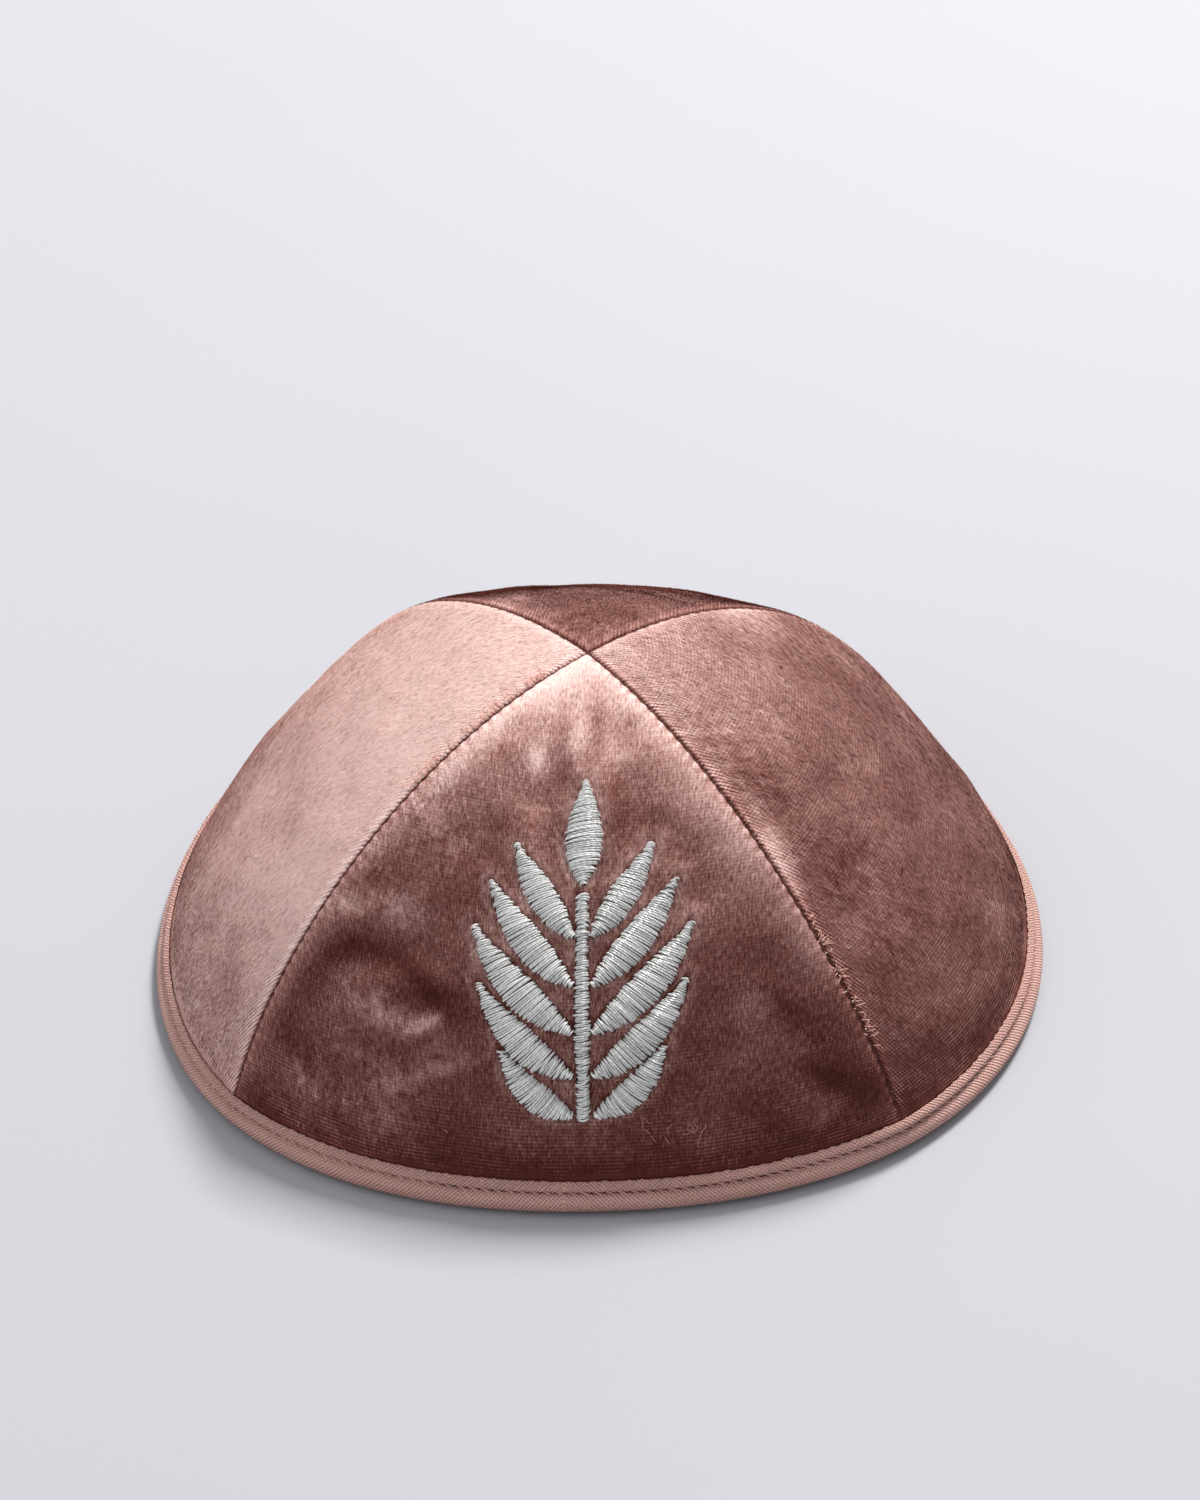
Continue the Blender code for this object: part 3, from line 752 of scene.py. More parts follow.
def quads(index):
    """Quads between the neighbours of a grid of vertex numbers."""
    corners = [index[:-1, :-1], index[:-1, 1:], index[1:, 1:], index[1:, :-1]]
    return np.stack(corners, axis=-1).reshape(-1, 4)


def grid_faces(first, rows, columns):
    """Quads of a grid of vertices that is stored row by row."""
    return quads(first + np.arange(rows * columns).reshape(rows, columns))


def border(rows, columns):
    """The vertices round such a grid, in order."""
    index = np.arange(rows * columns).reshape(rows, columns)
    return np.concatenate([index[0, :], index[1:, -1], index[-1, -2::-1], index[-2:0:-1, 0]])


def linked(name, data):
    """A new object in the scene."""
    obj = bpy.data.objects.new(name, data)
    bpy.context.scene.collection.objects.link(obj)
    return obj


def add_mesh(name, points, faces, materials, slots=None, **attributes):
    """A smooth mesh object with its attributes, one value or vector for each vertex."""
    mesh = bpy.data.meshes.new(name)
    mesh.from_pydata(points.tolist(), [], faces.tolist() if hasattr(faces, "tolist") else faces)
    for material in materials:
        mesh.materials.append(material)
    if slots is not None:
        mesh.polygons.foreach_set("material_index", slots)
    for label, values in attributes.items():
        values = np.asarray(values, np.float32)
        kind, field = ("FLOAT", "value") if values.ndim == 1 else ("FLOAT_VECTOR", "vector")
        mesh.attributes.new(label, kind, "POINT").data.foreach_set(field, values.ravel())
    mesh.shade_smooth()
    return linked(name, mesh)


def add_threads(name, lines, tints, radius, sides, material, recipe):
    """Round threads along lines of points, each with its own tint."""
    edges, first = [], 0
    for line in lines:
        edges += [(i, i + 1) for i in range(first, first + len(line) - 1)]
        first += len(line)
    mesh = bpy.data.meshes.new(name)
    mesh.from_pydata(np.concatenate(lines).tolist(), edges, [])
    shade = np.repeat(tints, [len(line) for line in lines]).astype(np.float32)
    mesh.attributes.new("shade", "FLOAT", "POINT").data.foreach_set("value", shade)
    obj = linked(name, mesh)
    return recipe.run(obj, Radius=radius, Sides=sides, Material=material)


def joined(name, pieces):
    """One object made of several, with their materials."""
    bpy.ops.object.select_all(action="DESELECT")
    for piece in pieces:
        piece.select_set(True)
    bpy.context.view_layer.objects.active = pieces[0]
    bpy.ops.object.join()
    pieces[0].name = pieces[0].data.name = name
    return pieces[0]


def leaf_outlines():
    """Each leaf's outline on the flat cloth."""
    share = np.linspace(0, 1, 40)
    for _, root, side, leaf, least in sprig_leaves():
        sides = [leaf_shape(root, side, leaf, least, share, cross) for cross in (-1.0, 1.0)]
        yield np.concatenate([np.stack(sides[0], axis=-1), np.stack(sides[1], axis=-1)[::-1]])


def from_stitching(across, along):
    """Distance on the flat cloth to the nearest leaf, nought under it."""
    place = np.stack([across.ravel(), along.ravel()], axis=-1)
    nearest = np.full(len(place), STITCH_REACH)
    low, high = place - STITCH_REACH, place + STITCH_REACH
    for outline in leaf_outlines():
        near = np.flatnonzero(
            (high >= outline.min(axis=0)).all(axis=1) & (low <= outline.max(axis=0)).all(axis=1)
        )
        start, end = outline, np.roll(outline, -1, axis=0)
        run, away = end - start, place[near, None] - start
        share = np.clip((away * run).sum(-1) / np.maximum((run**2).sum(-1), NOUGHT), 0, 1)
        distance = np.linalg.norm(away - share[..., None] * run, axis=-1).min(axis=1)
        y = place[near, 1, None]
        crosses = (start[:, 1] > y) != (end[:, 1] > y)
        level = np.where(run[:, 1] == 0, 1.0, run[:, 1])
        left_of = place[near, 0, None] < start[:, 0] + (y - start[:, 1]) * run[:, 0] / level
        inside = (crosses & left_of).sum(axis=1) % 2 == 1
        nearest[near] = np.minimum(nearest[near], np.where(inside, 0.0, distance))
    return nearest.reshape(across.shape)


class Gore:
    """One gore's velvet: the grid of its outer vertices, row by row from the rim to the apex,
    and what shapes and tints the cloth at each of them."""

    def __init__(self, number):
        self.number, self.row = number, GORES[number]
        rises, lengths = MIDDLE_LINES[number]
        count = self.row["columns"] + 1
        side = (1 - np.cos(np.linspace(0, math.pi, count))) / 2
        share = EVEN_COLUMNS * np.linspace(0, 1, count) + (1 - EVEN_COLUMNS) * side
        tip = (1 - (TIP_RADIUS / RIM_RADIUS) ** OUT_POWER) ** (1 / UP_POWER)
        start = np.interp(EDGE_HEIGHT / CAP_HEIGHT, rises, lengths)
        along = np.linspace(start, lengths[-1], self.row["rows"] + 1)[:-1]
        self.rise = np.append(rise_at(number, along), tip)[:, None]
        first, last = gore_edges(number, self.rise)
        gap = np.arcsin(np.clip(SEAM_GAP / 2 / crown_radius(number, first, self.rise), 0, 0.9))
        self.azimuth = first + gap + (last - first - 2 * gap) * share
        self.middle = (first + last) / 2

        self.across, self.along = flat_place(number, self.azimuth, self.rise)
        self.up = self.along / lengths[-1] + 0 * self.azimuth
        radius = crown_radius(number, self.azimuth, self.rise)
        self.from_seam = np.minimum(self.azimuth - first, last - self.azimuth) * radius
        above = (self.rise * CAP_HEIGHT - BINDING_HEIGHT) / BINDING_HEIGHT
        self.free = np.clip(above / FREE_HEIGHT, 0, 1)
        self.near_apex = np.clip(radius / APEX_CALM, 0, 1)
        slanted = self.along + PUCKER_SLANT * self.from_seam
        self.pinch = 0.5 + 0.5 * np.cos(TURN * slanted / SEAM_PITCH)
        self.sewn = number == FRONT
        if self.sewn:
            self.away = from_stitching(self.across, self.along + 0 * self.across)
            self.swell = 1 + 0.5 * wander(self.across, self.along, SWELL_SIZE, 5)

    def pull(self):
        """How far the seams and the stitching pull the cloth in."""
        hollow = 0.0
        if self.sewn:
            hollow = HOLLOW_DEPTH * bell(self.away, HOLLOW_WIDTH)
            ridge = bell(self.away, HOLLOW_WIDTH, RIDGE_PLACE * HOLLOW_WIDTH)
            hollow = hollow - RIDGE_SHARE * self.swell * HOLLOW_DEPTH * ridge
        return SEAM_SINK * bell(self.from_seam, SEAM_ROLL) + hollow

    def press(self):
        """How far the cloth is pressed in from the smooth skin: pulled, puckered and rippled."""
        pucker = SEAM_PUCKER * self.pinch * bell(self.from_seam, PUCKER_REACH)
        near_seam = np.clip(self.from_seam / SEAM_CALM, 0, 1)
        large = RIPPLE * wander(self.across, self.along, LARGE_RIPPLE, 10 + self.number)
        small = wander(self.across, self.along, SMALL_RIPPLE, 20 + self.number)
        ripple = large + SMALL_SHARE * RIPPLE * small
        return self.free * (self.pull() + self.near_apex * (pucker + near_seam * ripple))

    def nap(self, outer):
        """The way the pile lies: up the gore, along its surface."""
        down, right = np.gradient(outer, axis=0), np.gradient(outer, axis=1)
        normal = np.cross(right, down)
        normal /= np.maximum(np.linalg.norm(normal, axis=-1, keepdims=True), NOUGHT)
        inwards = -np.gradient(crown_radius(self.number, self.middle, self.rise)[:, 0])
        slope = np.arctan2(np.gradient(self.rise[:, 0]) * CAP_HEIGHT, inwards)[:, None]
        slope, way = slope + 0 * self.azimuth, self.middle + 0 * self.azimuth
        nap = np.stack(
            [-np.cos(way) * np.cos(slope), -np.sin(way) * np.cos(slope), np.sin(slope)], axis=-1
        )
        nap -= normal * (nap * normal).sum(-1, keepdims=True)
        return nap / np.maximum(np.linalg.norm(nap, axis=-1, keepdims=True), NOUGHT)

    def tone(self, press):
        """How light the pile is painted: its brushing and its own tone, with painted sheen,
        highlights and shade.
        """
        pressed = press + dent_depth(self.number, self.azimuth, self.rise) - self.free * self.pull()
        facing_up = np.gradient(pressed, axis=0) / np.gradient(self.along[:, 0])[:, None]
        # The tones are the pile's colour with painted sheen and painted shade, lighter towards the
        # apex
        sheen_and_shade_tones = self.row["sheen_and_shade_tones"]
        tone = np.interp(self.up, np.linspace(0, 1, len(sheen_and_shade_tones)), sheen_and_shade_tones)
        # Painted highlights beside the seams
        left, right = self.row["left_edge"], self.row["right_edge"]
        edge = np.where(self.azimuth < self.middle, left, right)
        tone = tone + bell(self.from_seam, SEAM_HIGHLIGHT_WIDTH) * edge
        # Brushed patches, with painted shade in folds and painted highlights on ridges
        tone = tone + bells(BRUSHED_AND_SHADED, self.number, self.across, self.along, "lift")
        # Painted light on slopes that face up, painted shade on those that face down
        tone = tone + PAINTED_SLOPE_SHADE * np.clip(facing_up, -STEEPEST, STEEPEST)
        tone = tone + PATCH_TONE * wander(self.across, self.along, PATCH_SIZE, 30 + self.number)
        # Painted shade in each stitch's pucker beside a seam, more near the apex
        pulled = PUCKER_SHADE + self.row["pinch"] * (self.up > PINCH_FROM)
        pulled = pulled * self.pinch * bell(self.from_seam, PINCH_REACH)
        # Painted shade in the puckers and down in the seam
        tone = tone - self.free * (pulled + CREVICE_SHADE * bell(self.from_seam, CREVICE_REACH))
        # Painted highlight on the cloth's roll into the seam
        tone = tone + FOLD_HIGHLIGHT * self.near_apex * bell(self.from_seam, FOLD_WIDTH, FOLD_PLACE)
        if self.sewn:
            # Painted highlight round the stitching, and painted shade close beside it
            tone = tone + HALO_HIGHLIGHT_AND_SHADE * self.swell * bell(self.away, HALO_WIDTH, HALO_PLACE)
            tone = tone - HALO_HIGHLIGHT_AND_SHADE * bell(self.away, HALO_INNER)
            # A ring of painted shade a little way off the stitching
            ring = np.clip((self.up - RING_FROM) / (RING_FULL - RING_FROM), 0, 1)
            tone = tone - RING_SHADE * ring * bell(self.away, RING_WIDTH, RING_PLACE)
        return np.clip(tone, 0, TONE_MOST)

    def ruffle(self):
        """How ruffled the pile is, from 0 to 1."""
        ruffle = bells(BRUSHED_AND_SHADED, self.number, self.across, self.along, "ruffle")
        if self.sewn:
            ruffle = ruffle + SEWN_RUFFLE * bell(self.away, RUFFLE_REACH)
        return np.clip(ruffle, 0, 1)

    def add(self, velvet, backing):
        """The gore's mesh: a closed wall of cloth whose edges roll in at the seams. Its inner
        skin has half the columns and rows of the outer."""
        press = self.press()
        outer = skin(self.number, self.azimuth, self.rise, press)
        halved = self.azimuth[::2, ::2], self.rise[::2]
        inner = skin(self.number, *halved, WALL + 0 * press[::2, ::2]).reshape(-1, 3)
        trimmed = np.clip((self.from_seam - TRIM_WIDTH) / TRIM_FADE, 0, 1)
        trim = self.row["trim"] + (1 - self.row["trim"]) * trimmed
        warp = self.row["warp"] * (0.6 + 1.4 * bell(self.from_seam, WARP_REACH))
        weft = self.row["weft"] * (0.5 + 1.4 * bell(self.up, WEFT_REACH))
        pile = ((self.free > PILE_START) & (self.from_seam > PILE_GAP)) * 1.0

        shape = rows, columns = self.azimuth.shape
        count = rows * columns
        inner_shape = (rows + 1) // 2, (columns + 1) // 2
        outside = grid_faces(0, *shape)
        inside = grid_faces(count, *inner_shape)[:, ::-1]
        rim, inner_rim = border(*shape), count + border(*inner_shape)
        after = np.roll(rim[::2], -1)
        walls = np.stack([rim[::2], inner_rim, np.roll(inner_rim, -1), after, rim[1::2]], axis=-1)
        slots = np.repeat([0, 1], [len(outside), len(inside) + len(walls)])

        def both(values):
            """An attribute on the outer skin, and on the inner from the vertices above."""
            above = values[::2, ::2].reshape(len(inner), -1)
            return np.concatenate([values.reshape(count, -1), above]).squeeze()

        across, along = self.across + CLOTH_STEP * self.number, self.along + 0 * self.across
        return add_mesh(
            f"velvet_{self.row['side']}",
            np.concatenate([outer.reshape(-1, 3), inner]),
            outside.tolist() + inside.tolist() + walls.tolist(),
            [velvet, backing],
            slots,
            cloth=both(np.stack([across, along, 0 * across], axis=-1)),
            nap=both(self.nap(outer)),
            tone=both(self.tone(press)),
            trim=both(trim),
            ruffle=both(self.ruffle()),
            warp=both(warp),
            weft=both(weft),
            pile=np.concatenate([pile.ravel(), np.zeros(len(inner))]),
        )


def pile_recipe(around_sprig):
    """Fibres that lie along the nap, lift where stitching crowds them, and leave room for it."""
    recipe = Recipe(
        "lay_pile", Length="Float", Width="Float", Density="Float", Lift="Float", Seed="Int",
        Material="Material", Sprig="Object",
    )
    density = recipe.named("pile") * recipe.given("Density")
    inputs = {"Mesh": recipe.given("Geometry"), "Density": density, "Seed": recipe.given("Seed")}
    settings = {"distribute_method": "RANDOM"}
    roots = recipe.node("GeometryNodeDistributePointsOnFaces", settings, inputs)
    normal = roots.output("Normal")
    lift = recipe.given("Lift") + recipe.chance(*FIBRE_LIFT, 1)
    if around_sprig:
        inputs = {"Object": recipe.given("Sprig")}
        sprig = recipe.node("GeometryNodeObjectInfo", {}, inputs, "Geometry")
        settings = {"target_element": "FACES"}
        away = recipe.node("GeometryNodeProximity", settings, {0: sprig}, "Distance")
        inputs = {0: away, 1: SPRIG_GAP}
        covered = recipe.node("FunctionNodeCompare", {"operation": "LESS_THAN"}, inputs)
        inputs = {"Geometry": roots, "Selection": covered}
        roots = recipe.node("GeometryNodeDeleteGeometry", {"domain": "POINT"}, inputs)
        crowd = (1.0 - away / CROWD_REACH).maths("MAXIMUM", 0.0)
        lift = lift + crowd * CROWD_LIFT
        roots = recipe.store(roots, "crowd", crowd)
    nap = recipe.named("nap", "FLOAT_VECTOR")
    beside = recipe.vector_maths("CROSS_PRODUCT", normal, nap)
    place = recipe.node("GeometryNodeInputPosition")
    ruffle = recipe.named("ruffle")
    clump = recipe.noise(place, CLUMP_SCALE, 1.0) * (0.5 + ruffle * 2.2)
    clump = clump + recipe.noise(place, WAVE_SCALE, 0.0) * (0.4 + ruffle)
    sway = clump + recipe.chance(-FIBRE_SWAY, FIBRE_SWAY, 2)
    lean = recipe.vector_maths("ADD", nap, recipe.vector_maths("SCALE", beside, sway))
    lean = recipe.vector_maths("ADD", lean, recipe.vector_maths("SCALE", normal, lift))
    roll = recipe.vector_maths("SCALE", beside, recipe.chance(-FIBRE_ROLL, FIBRE_ROLL, 3))
    up = recipe.vector_maths("ADD", normal, roll)
    settings = {"primary_axis": "X", "secondary_axis": "Z"}
    inputs = {"Primary Axis": lean, "Secondary Axis": up}
    rotation = recipe.node("FunctionNodeAxesToRotation", settings, inputs)

    inputs = {"Vertices": 3, "Radius": 1.0}
    fibre = recipe.node("GeometryNodeMeshCircle", {"fill_type": "NGON"}, inputs)
    corner = recipe.node("ShaderNodeSeparateXYZ", {}, {0: place})
    reach = (corner.output("X") + 0.5) / 1.5
    fibre = recipe.store(fibre, "reach", reach)
    shaped = recipe.vector(
        recipe.named("reach") * recipe.given("Length"),
        corner.output("Y") * recipe.given("Width") / math.sqrt(3),
    )
    fibre = recipe.node("GeometryNodeSetPosition", {}, {"Geometry": fibre, "Position": shaped})

    size = recipe.named("trim") * recipe.chance(*FIBRE_LONG, 4)
    roots = recipe.store(roots, "long", size * recipe.given("Length"))
    scale = recipe.vector(recipe.named("long") / recipe.given("Length"), 1.0, 1.0)
    inputs = {"Points": roots, "Instance": fibre, "Rotation": rotation, "Scale": scale}
    laid = recipe.node("GeometryNodeInstanceOnPoints", {}, inputs)
    recipe.serve(recipe.store(laid, "shade", recipe.chance(-1.0, 1.0, 5), "INSTANCE"))
    return recipe


def add_pile(gore, velvet, material, sprig=None):
    """The fibres of one gore."""
    base = linked(f"pile_{GORES[gore]['side']}", velvet.data.copy())
    values = {"Sprig": sprig} if sprig else {}
    return pile_recipe(sprig is not None).run(
        base, Length=PILE_LENGTH, Width=PILE_WIDTH, Density=PILE_PER_M2, Lift=PILE_LIFT,
        Seed=gore + 1, Material=material, **values,
    )


def thread_recipe():
    """Round threads along chains of edges, with the places that their twist is drawn by."""
    recipe = Recipe("twist_thread", Radius="Float", Sides="Int", Material="Material")
    line = recipe.node("GeometryNodeMeshToCurve", {}, {"Mesh": recipe.given("Geometry")})
    run = recipe.node("GeometryNodeSplineParameter", output="Length")
    line = recipe.store(line, "run", run)
    inputs = {"Resolution": recipe.given("Sides"), "Radius": recipe.given("Radius")}
    ring = recipe.node("GeometryNodeCurvePrimitiveCircle", {}, inputs)
    ring = recipe.store(ring, "round", recipe.node("GeometryNodeSplineParameter", output="Factor"))
    inputs = {"Curve": line, "Profile Curve": ring, "Fill Caps": True}
    recipe.serve(recipe.node("GeometryNodeCurveToMesh", {}, inputs))
    return recipe


def leaf_shape(root, side, leaf, least, share, cross):
    """A point of a leaf on the flat cloth: a share of the way along it, and across it."""
    lean, curl = math.radians(leaf["lean"]), math.radians(leaf["curl"])
    long, wide = leaf["long"] * SPRIG_HEIGHT, leaf["wide"] * SPRIG_HEIGHT
    share = np.clip(share, 0, 1)
    angle = lean - curl * share
    if curl:
        x = long / curl * (np.cos(angle) - math.cos(lean))
        y = long / curl * (math.sin(lean) - np.sin(angle))
    else:
        x, y = long * share * math.sin(lean), long * share * math.cos(lean)
    half = wide / 2 * np.maximum(least, np.sin(math.pi * share**LEAF_FULLNESS))
    across = side * (root[0] + x + cross * half * np.cos(angle))
    along = root[1] + y - cross * half * np.sin(angle)
    return (
        SPRIG_ACROSS + across * math.cos(SPRIG_TURN) + along * math.sin(SPRIG_TURN),
        SPRIG_START - across * math.sin(SPRIG_TURN) + along * math.cos(SPRIG_TURN),
    )


def sprig_leaves():
    """(CAD node, root, side, leaf, least width) of every piece of the sprig."""
    for row in UPRIGHTS:
        leaf = {"lean": 0, "curl": 0, "long": row["long"], "wide": row["wide"]}
        yield row["node"], (0.0, row["root"] * SPRIG_HEIGHT), 1, leaf, row["least"]
    for number, leaf in enumerate(LEAF_PAIRS, start=1):
        root = (leaf["out"] * SPRIG_HEIGHT, leaf["root"] * SPRIG_HEIGHT)
        yield f"sprig_leaf_right_{number}", root, 1, leaf, LEAF_LEAST
        yield f"sprig_leaf_left_{number}", root, -1, leaf, LEAF_LEAST


def crown_of(cross):
    return STITCH_EDGE + (1 - STITCH_EDGE) * (1 - np.clip(np.abs(cross), 0, 1) ** 2)


def add_padding(name, root, side, leaf, least, material):
    """The padding under a leaf's stitches: a closed, crowned body."""
    share = np.linspace(PADDING_ENDS, 1 - PADDING_ENDS, 26)[:, None]
    cross = np.linspace(PADDING_SIDES - 1, 1 - PADDING_SIDES, 9)[None, :]
    across, along = leaf_shape(root, side, leaf, least, share, cross)
    rise = (STITCH_RISE - SATIN_RADIUS) * crown_of(cross)
    top = on_gore(FRONT, across, along, CLEARANCE + rise + 0 * across)
    low = on_gore(FRONT, across, along, 0 * across - PADDING_DEPTH * HOLLOW_DEPTH)
    rows, columns = across.shape
    count = rows * columns
    rim = border(rows, columns)
    after = np.roll(rim, -1)
    walls = np.stack([rim, rim + count, after + count, after], axis=-1)
    under = grid_faces(count, rows, columns)[:, ::-1]
    faces = np.concatenate([grid_faces(0, rows, columns), under, walls])
    if side < 0:
        faces = faces[:, ::-1]
    points = np.concatenate([top.reshape(-1, 3), low.reshape(-1, 3)])
    return add_mesh(name, points, faces[:, ::-1], [material])


def satin_lines(root, side, leaf, least, chance):
    """The line of each stitch across a leaf. Its ends dip into the velvet unevenly."""
    long, wide = leaf["long"] * SPRIG_HEIGHT, leaf["wide"] * SPRIG_HEIGHT
    cross, pitch = np.array(SATIN_ACROSS), SATIN_PITCH / long
    lines = []
    for place in np.arange(0.5, long / SATIN_PITCH) * SATIN_PITCH / long:
        half = max(least, math.sin(math.pi * place**LEAF_FULLNESS))
        slant = SATIN_SLANT * wide / 2 * half / long
        past = chance.uniform(*SATIN_PAST, 2) / (wide / 2 * half)
        wider = cross * (1 + np.where(cross < 0, *past))
        askew = slant * cross + chance.normal(0, SATIN_ASKEW) * pitch * cross
        share = place + askew + chance.normal(0, SATIN_SHIFT) * pitch
        across, along = leaf_shape(root, side, leaf, least, share, wider)
        rise = STITCH_RISE * crown_of(cross) * (1 + chance.normal(0, SATIN_UNEVEN))
        height = CLEARANCE + rise - SATIN_RADIUS
        height[[0, -1]] = -SATIN_DIP
        lines.append(on_gore(FRONT, across, along, height))
    return lines


def add_satin(name, root, side, leaf, least, gap_shade_cloth, thread, recipe, chance):
    """A leaf in satin stitch over its padding."""
    padding = add_padding(name, root, side, leaf, least, gap_shade_cloth)
    lines = satin_lines(root, side, leaf, least, chance)
    tints = chance.uniform(-1, 1, len(lines))
    return padding, add_threads(f"{name}_stitches", lines, tints, SATIN_RADIUS, 6, thread, recipe)


def rim_stations(count):
    """Places evenly round the rim, each a gore's number and the share across it in one sum, and
    the rim's length."""
    share = np.linspace(0, 1, LINE_SAMPLES)
    gores, points = [], []
    for gore in range(len(GORES)):
        first, last = gore_edges(gore, 0.0)
        points.append(skin(gore, first + (last - first) * share, np.float64(0.0)))
        gores.append(gore + share)
    points, places = np.concatenate(points), np.concatenate(gores)
    lengths = np.concatenate([[0.0], np.cumsum(np.linalg.norm(np.diff(points, axis=0), axis=1))])
    found = np.interp(np.arange(count) / count * lengths[-1], lengths, places)
    return found, lengths[-1]


def tape_point(place, height, out):
    """Points round the rim at a height and a distance outside the gores' skin."""
    points = np.empty((len(place), 3))
    for gore in range(len(GORES)):
        mine = np.floor(place).astype(int) % len(GORES) == gore
        rise = (height + 0 * place)[mine] / CAP_HEIGHT
        first, last = gore_edges(gore, rise)
        azimuth = first + (last - first) * (place[mine] - np.floor(place[mine]))
        points[mine] = skin(gore, azimuth, rise, -(out + 0 * place)[mine])
    return points


def tape_bulge(up):
    """The tape's outline: a roll at the foot, a narrow groove and a rounded lip."""
    roll = np.sqrt(np.clip(1 - ((up - TAPE_ROLL) / TAPE_ROLL) ** 2, 0, 1))
    lip = LIP_OUT * np.sqrt(np.clip(1 - ((up - LIP_PLACE) / LIP_HALF) ** 2, 0, 1))
    return BINDING_BULGE * np.maximum(np.maximum(roll, lip), GROOVE_OUT * (up > TAPE_ROLL))


def tape_section():
    """(height, distance out, place up the outer face) of each line round the tape's fold. Lines
    that aren't on the outer face have no such place."""
    groove = [TAPE_GROOVE - GROOVE_STEP, TAPE_GROOVE, TAPE_GROOVE + GROOVE_STEP]
    ups = np.concatenate([np.linspace(*LOW_LINES), groove, np.linspace(*HIGH_LINES)])
    slot_in, slot_low = -(WALL + CLEARANCE), EDGE_HEIGHT - CLEARANCE
    section = [(up * BINDING_HEIGHT, tape_bulge(up), up) for up in ups]
    section += [(BINDING_HEIGHT * FOLD_UP, (FOLD_OUT * BINDING_BULGE + CLEARANCE) / 2, 1.0)]
    section += [(BINDING_HEIGHT, CLEARANCE, None), (slot_low, CLEARANCE, None)]
    section += [(slot_low, slot_in, None), (BINDING_HEIGHT, slot_in, None)]
    for row in INNER_LAY:
        section += [(BINDING_HEIGHT * row["up"], slot_in - row["inwards"] * TAPE, None)]
    return section


def add_tape(material):
    """The tape, folded over the gores' lower edges, with a pinch at every topstitch. Its ribs
    run the other way on the right half."""
    _, length = rim_stations(8)
    stitches = round(length / TAPE_STITCH)
    count = stitches * STATIONS_PER_STITCH
    place, _ = rim_stations(count)
    run = np.arange(count) / count * length
    phase = np.arange(count) / STATIONS_PER_STITCH
    chance = np.random.default_rng(7)
    uneven = np.interp(phase, np.arange(stitches + 1), np.append(chance.normal(0, 1, stitches), 0))
    angle = place * TURN / len(GORES)
    around = np.cos(angle) * TAPE_WAVE_RADIUS, np.sin(angle) * TAPE_WAVE_RADIUS
    wave = TAPE_WAVE * wander(*around, TAPE_WAVE_SIZE, 3)

    rings, painted_shadings = [], []
    rightness = np.cos((place - GAPE_MIDDLE) * TURN / len(GORES))
    gaping = GAPE + GAPE_RIGHT * rightness + GAPE_UNEVEN * wander(run, 0 * run, GAPE_SIZE, 9)
    gaping = np.clip(gaping, GAPE_LEAST, 1.0)
    for height, out, up in tape_section():
        # Painted shade in the groove and at the foot, and a painted highlight on the roll
        hole = 0 * place
        if up is not None:
            pinch = 0.5 + 0.5 * np.cos(TURN * (phase - PINCH_SLANT * (up - TAPE_GROOVE)))
            hole = gaping * bell(up, GROOVE_SHADE_WIDTH, TAPE_GROOVE)
            for row in TAPE_LIGHT_AND_SHADE:
                hole = hole + row["dark"] * bell(up, row["width"], row["place"])
            lip = min(1.0, max(0.0, (up - TAPE_GROOVE) / LIP_RISE))
            out = out - PINCH_DEPTH * bell(up, PINCH_WIDTH, TAPE_GROOVE) * pinch
            out = out - LIP_PINCH * lip * pinch + LIP_UNEVEN * uneven * lip + wave * up
            edge = EDGE_UNEVEN * uneven + EDGE_SCALLOP * np.cos(TURN * phase)
            height = height + edge * lip * (up - EDGE_START) / (1 - EDGE_START)
        rings.append(tape_point(place, height, out))
        painted_shadings.append(hole)
    points = np.stack(rings, axis=1)
    steps = np.linalg.norm(np.diff(points[0], axis=0), axis=1)
    girth = np.concatenate([[0.0], np.cumsum(steps)])
    index = np.arange(count * len(rings)).reshape(count, len(rings))
    index = np.hstack([index, index[:, :1]])
    index = np.vstack([index, index[:1]])
    mirrored = np.abs((run - TAPE_CHEVRON * length) % length - length / 2)[:, None]
    along, nought = girth + 0 * mirrored, 0 * girth + 0 * mirrored
    cloth = np.stack([mirrored + nought, along, nought], axis=-1)
    tape = add_mesh(
        "rim_tape", points.reshape(-1, 3), quads(index)[:, [0, 3, 2, 1]], [material],
        cloth=cloth.reshape(-1, 3), hole=np.stack(painted_shadings, axis=1).ravel(),
    )
    return tape, stitches, length


def add_topstitching(stitches, material, recipe):
    """Slanted stitches that cross the tape's groove."""
    chance = np.random.default_rng(11)
    total, _ = rim_stations(stitches * TOPSTITCH_STEPS)
    step, up, out = (np.array([row[key] for row in TOPSTITCH]) for key in ("step", "up", "out"))
    lines = []
    for number in range(stitches):
        place = total[(number * TOPSTITCH_STEPS + step) % len(total)]
        ups = TAPE_GROOVE + up + chance.normal(0, TOPSTITCH_UNEVEN)
        lines.append(tape_point(place, ups * BINDING_HEIGHT, GROOVE_OUT * BINDING_BULGE + out))
    tints = chance.uniform(-1, 1, len(lines))
    return add_threads("rim_topstitch", lines, tints, TOPSTITCH_RADIUS, 6, material, recipe)


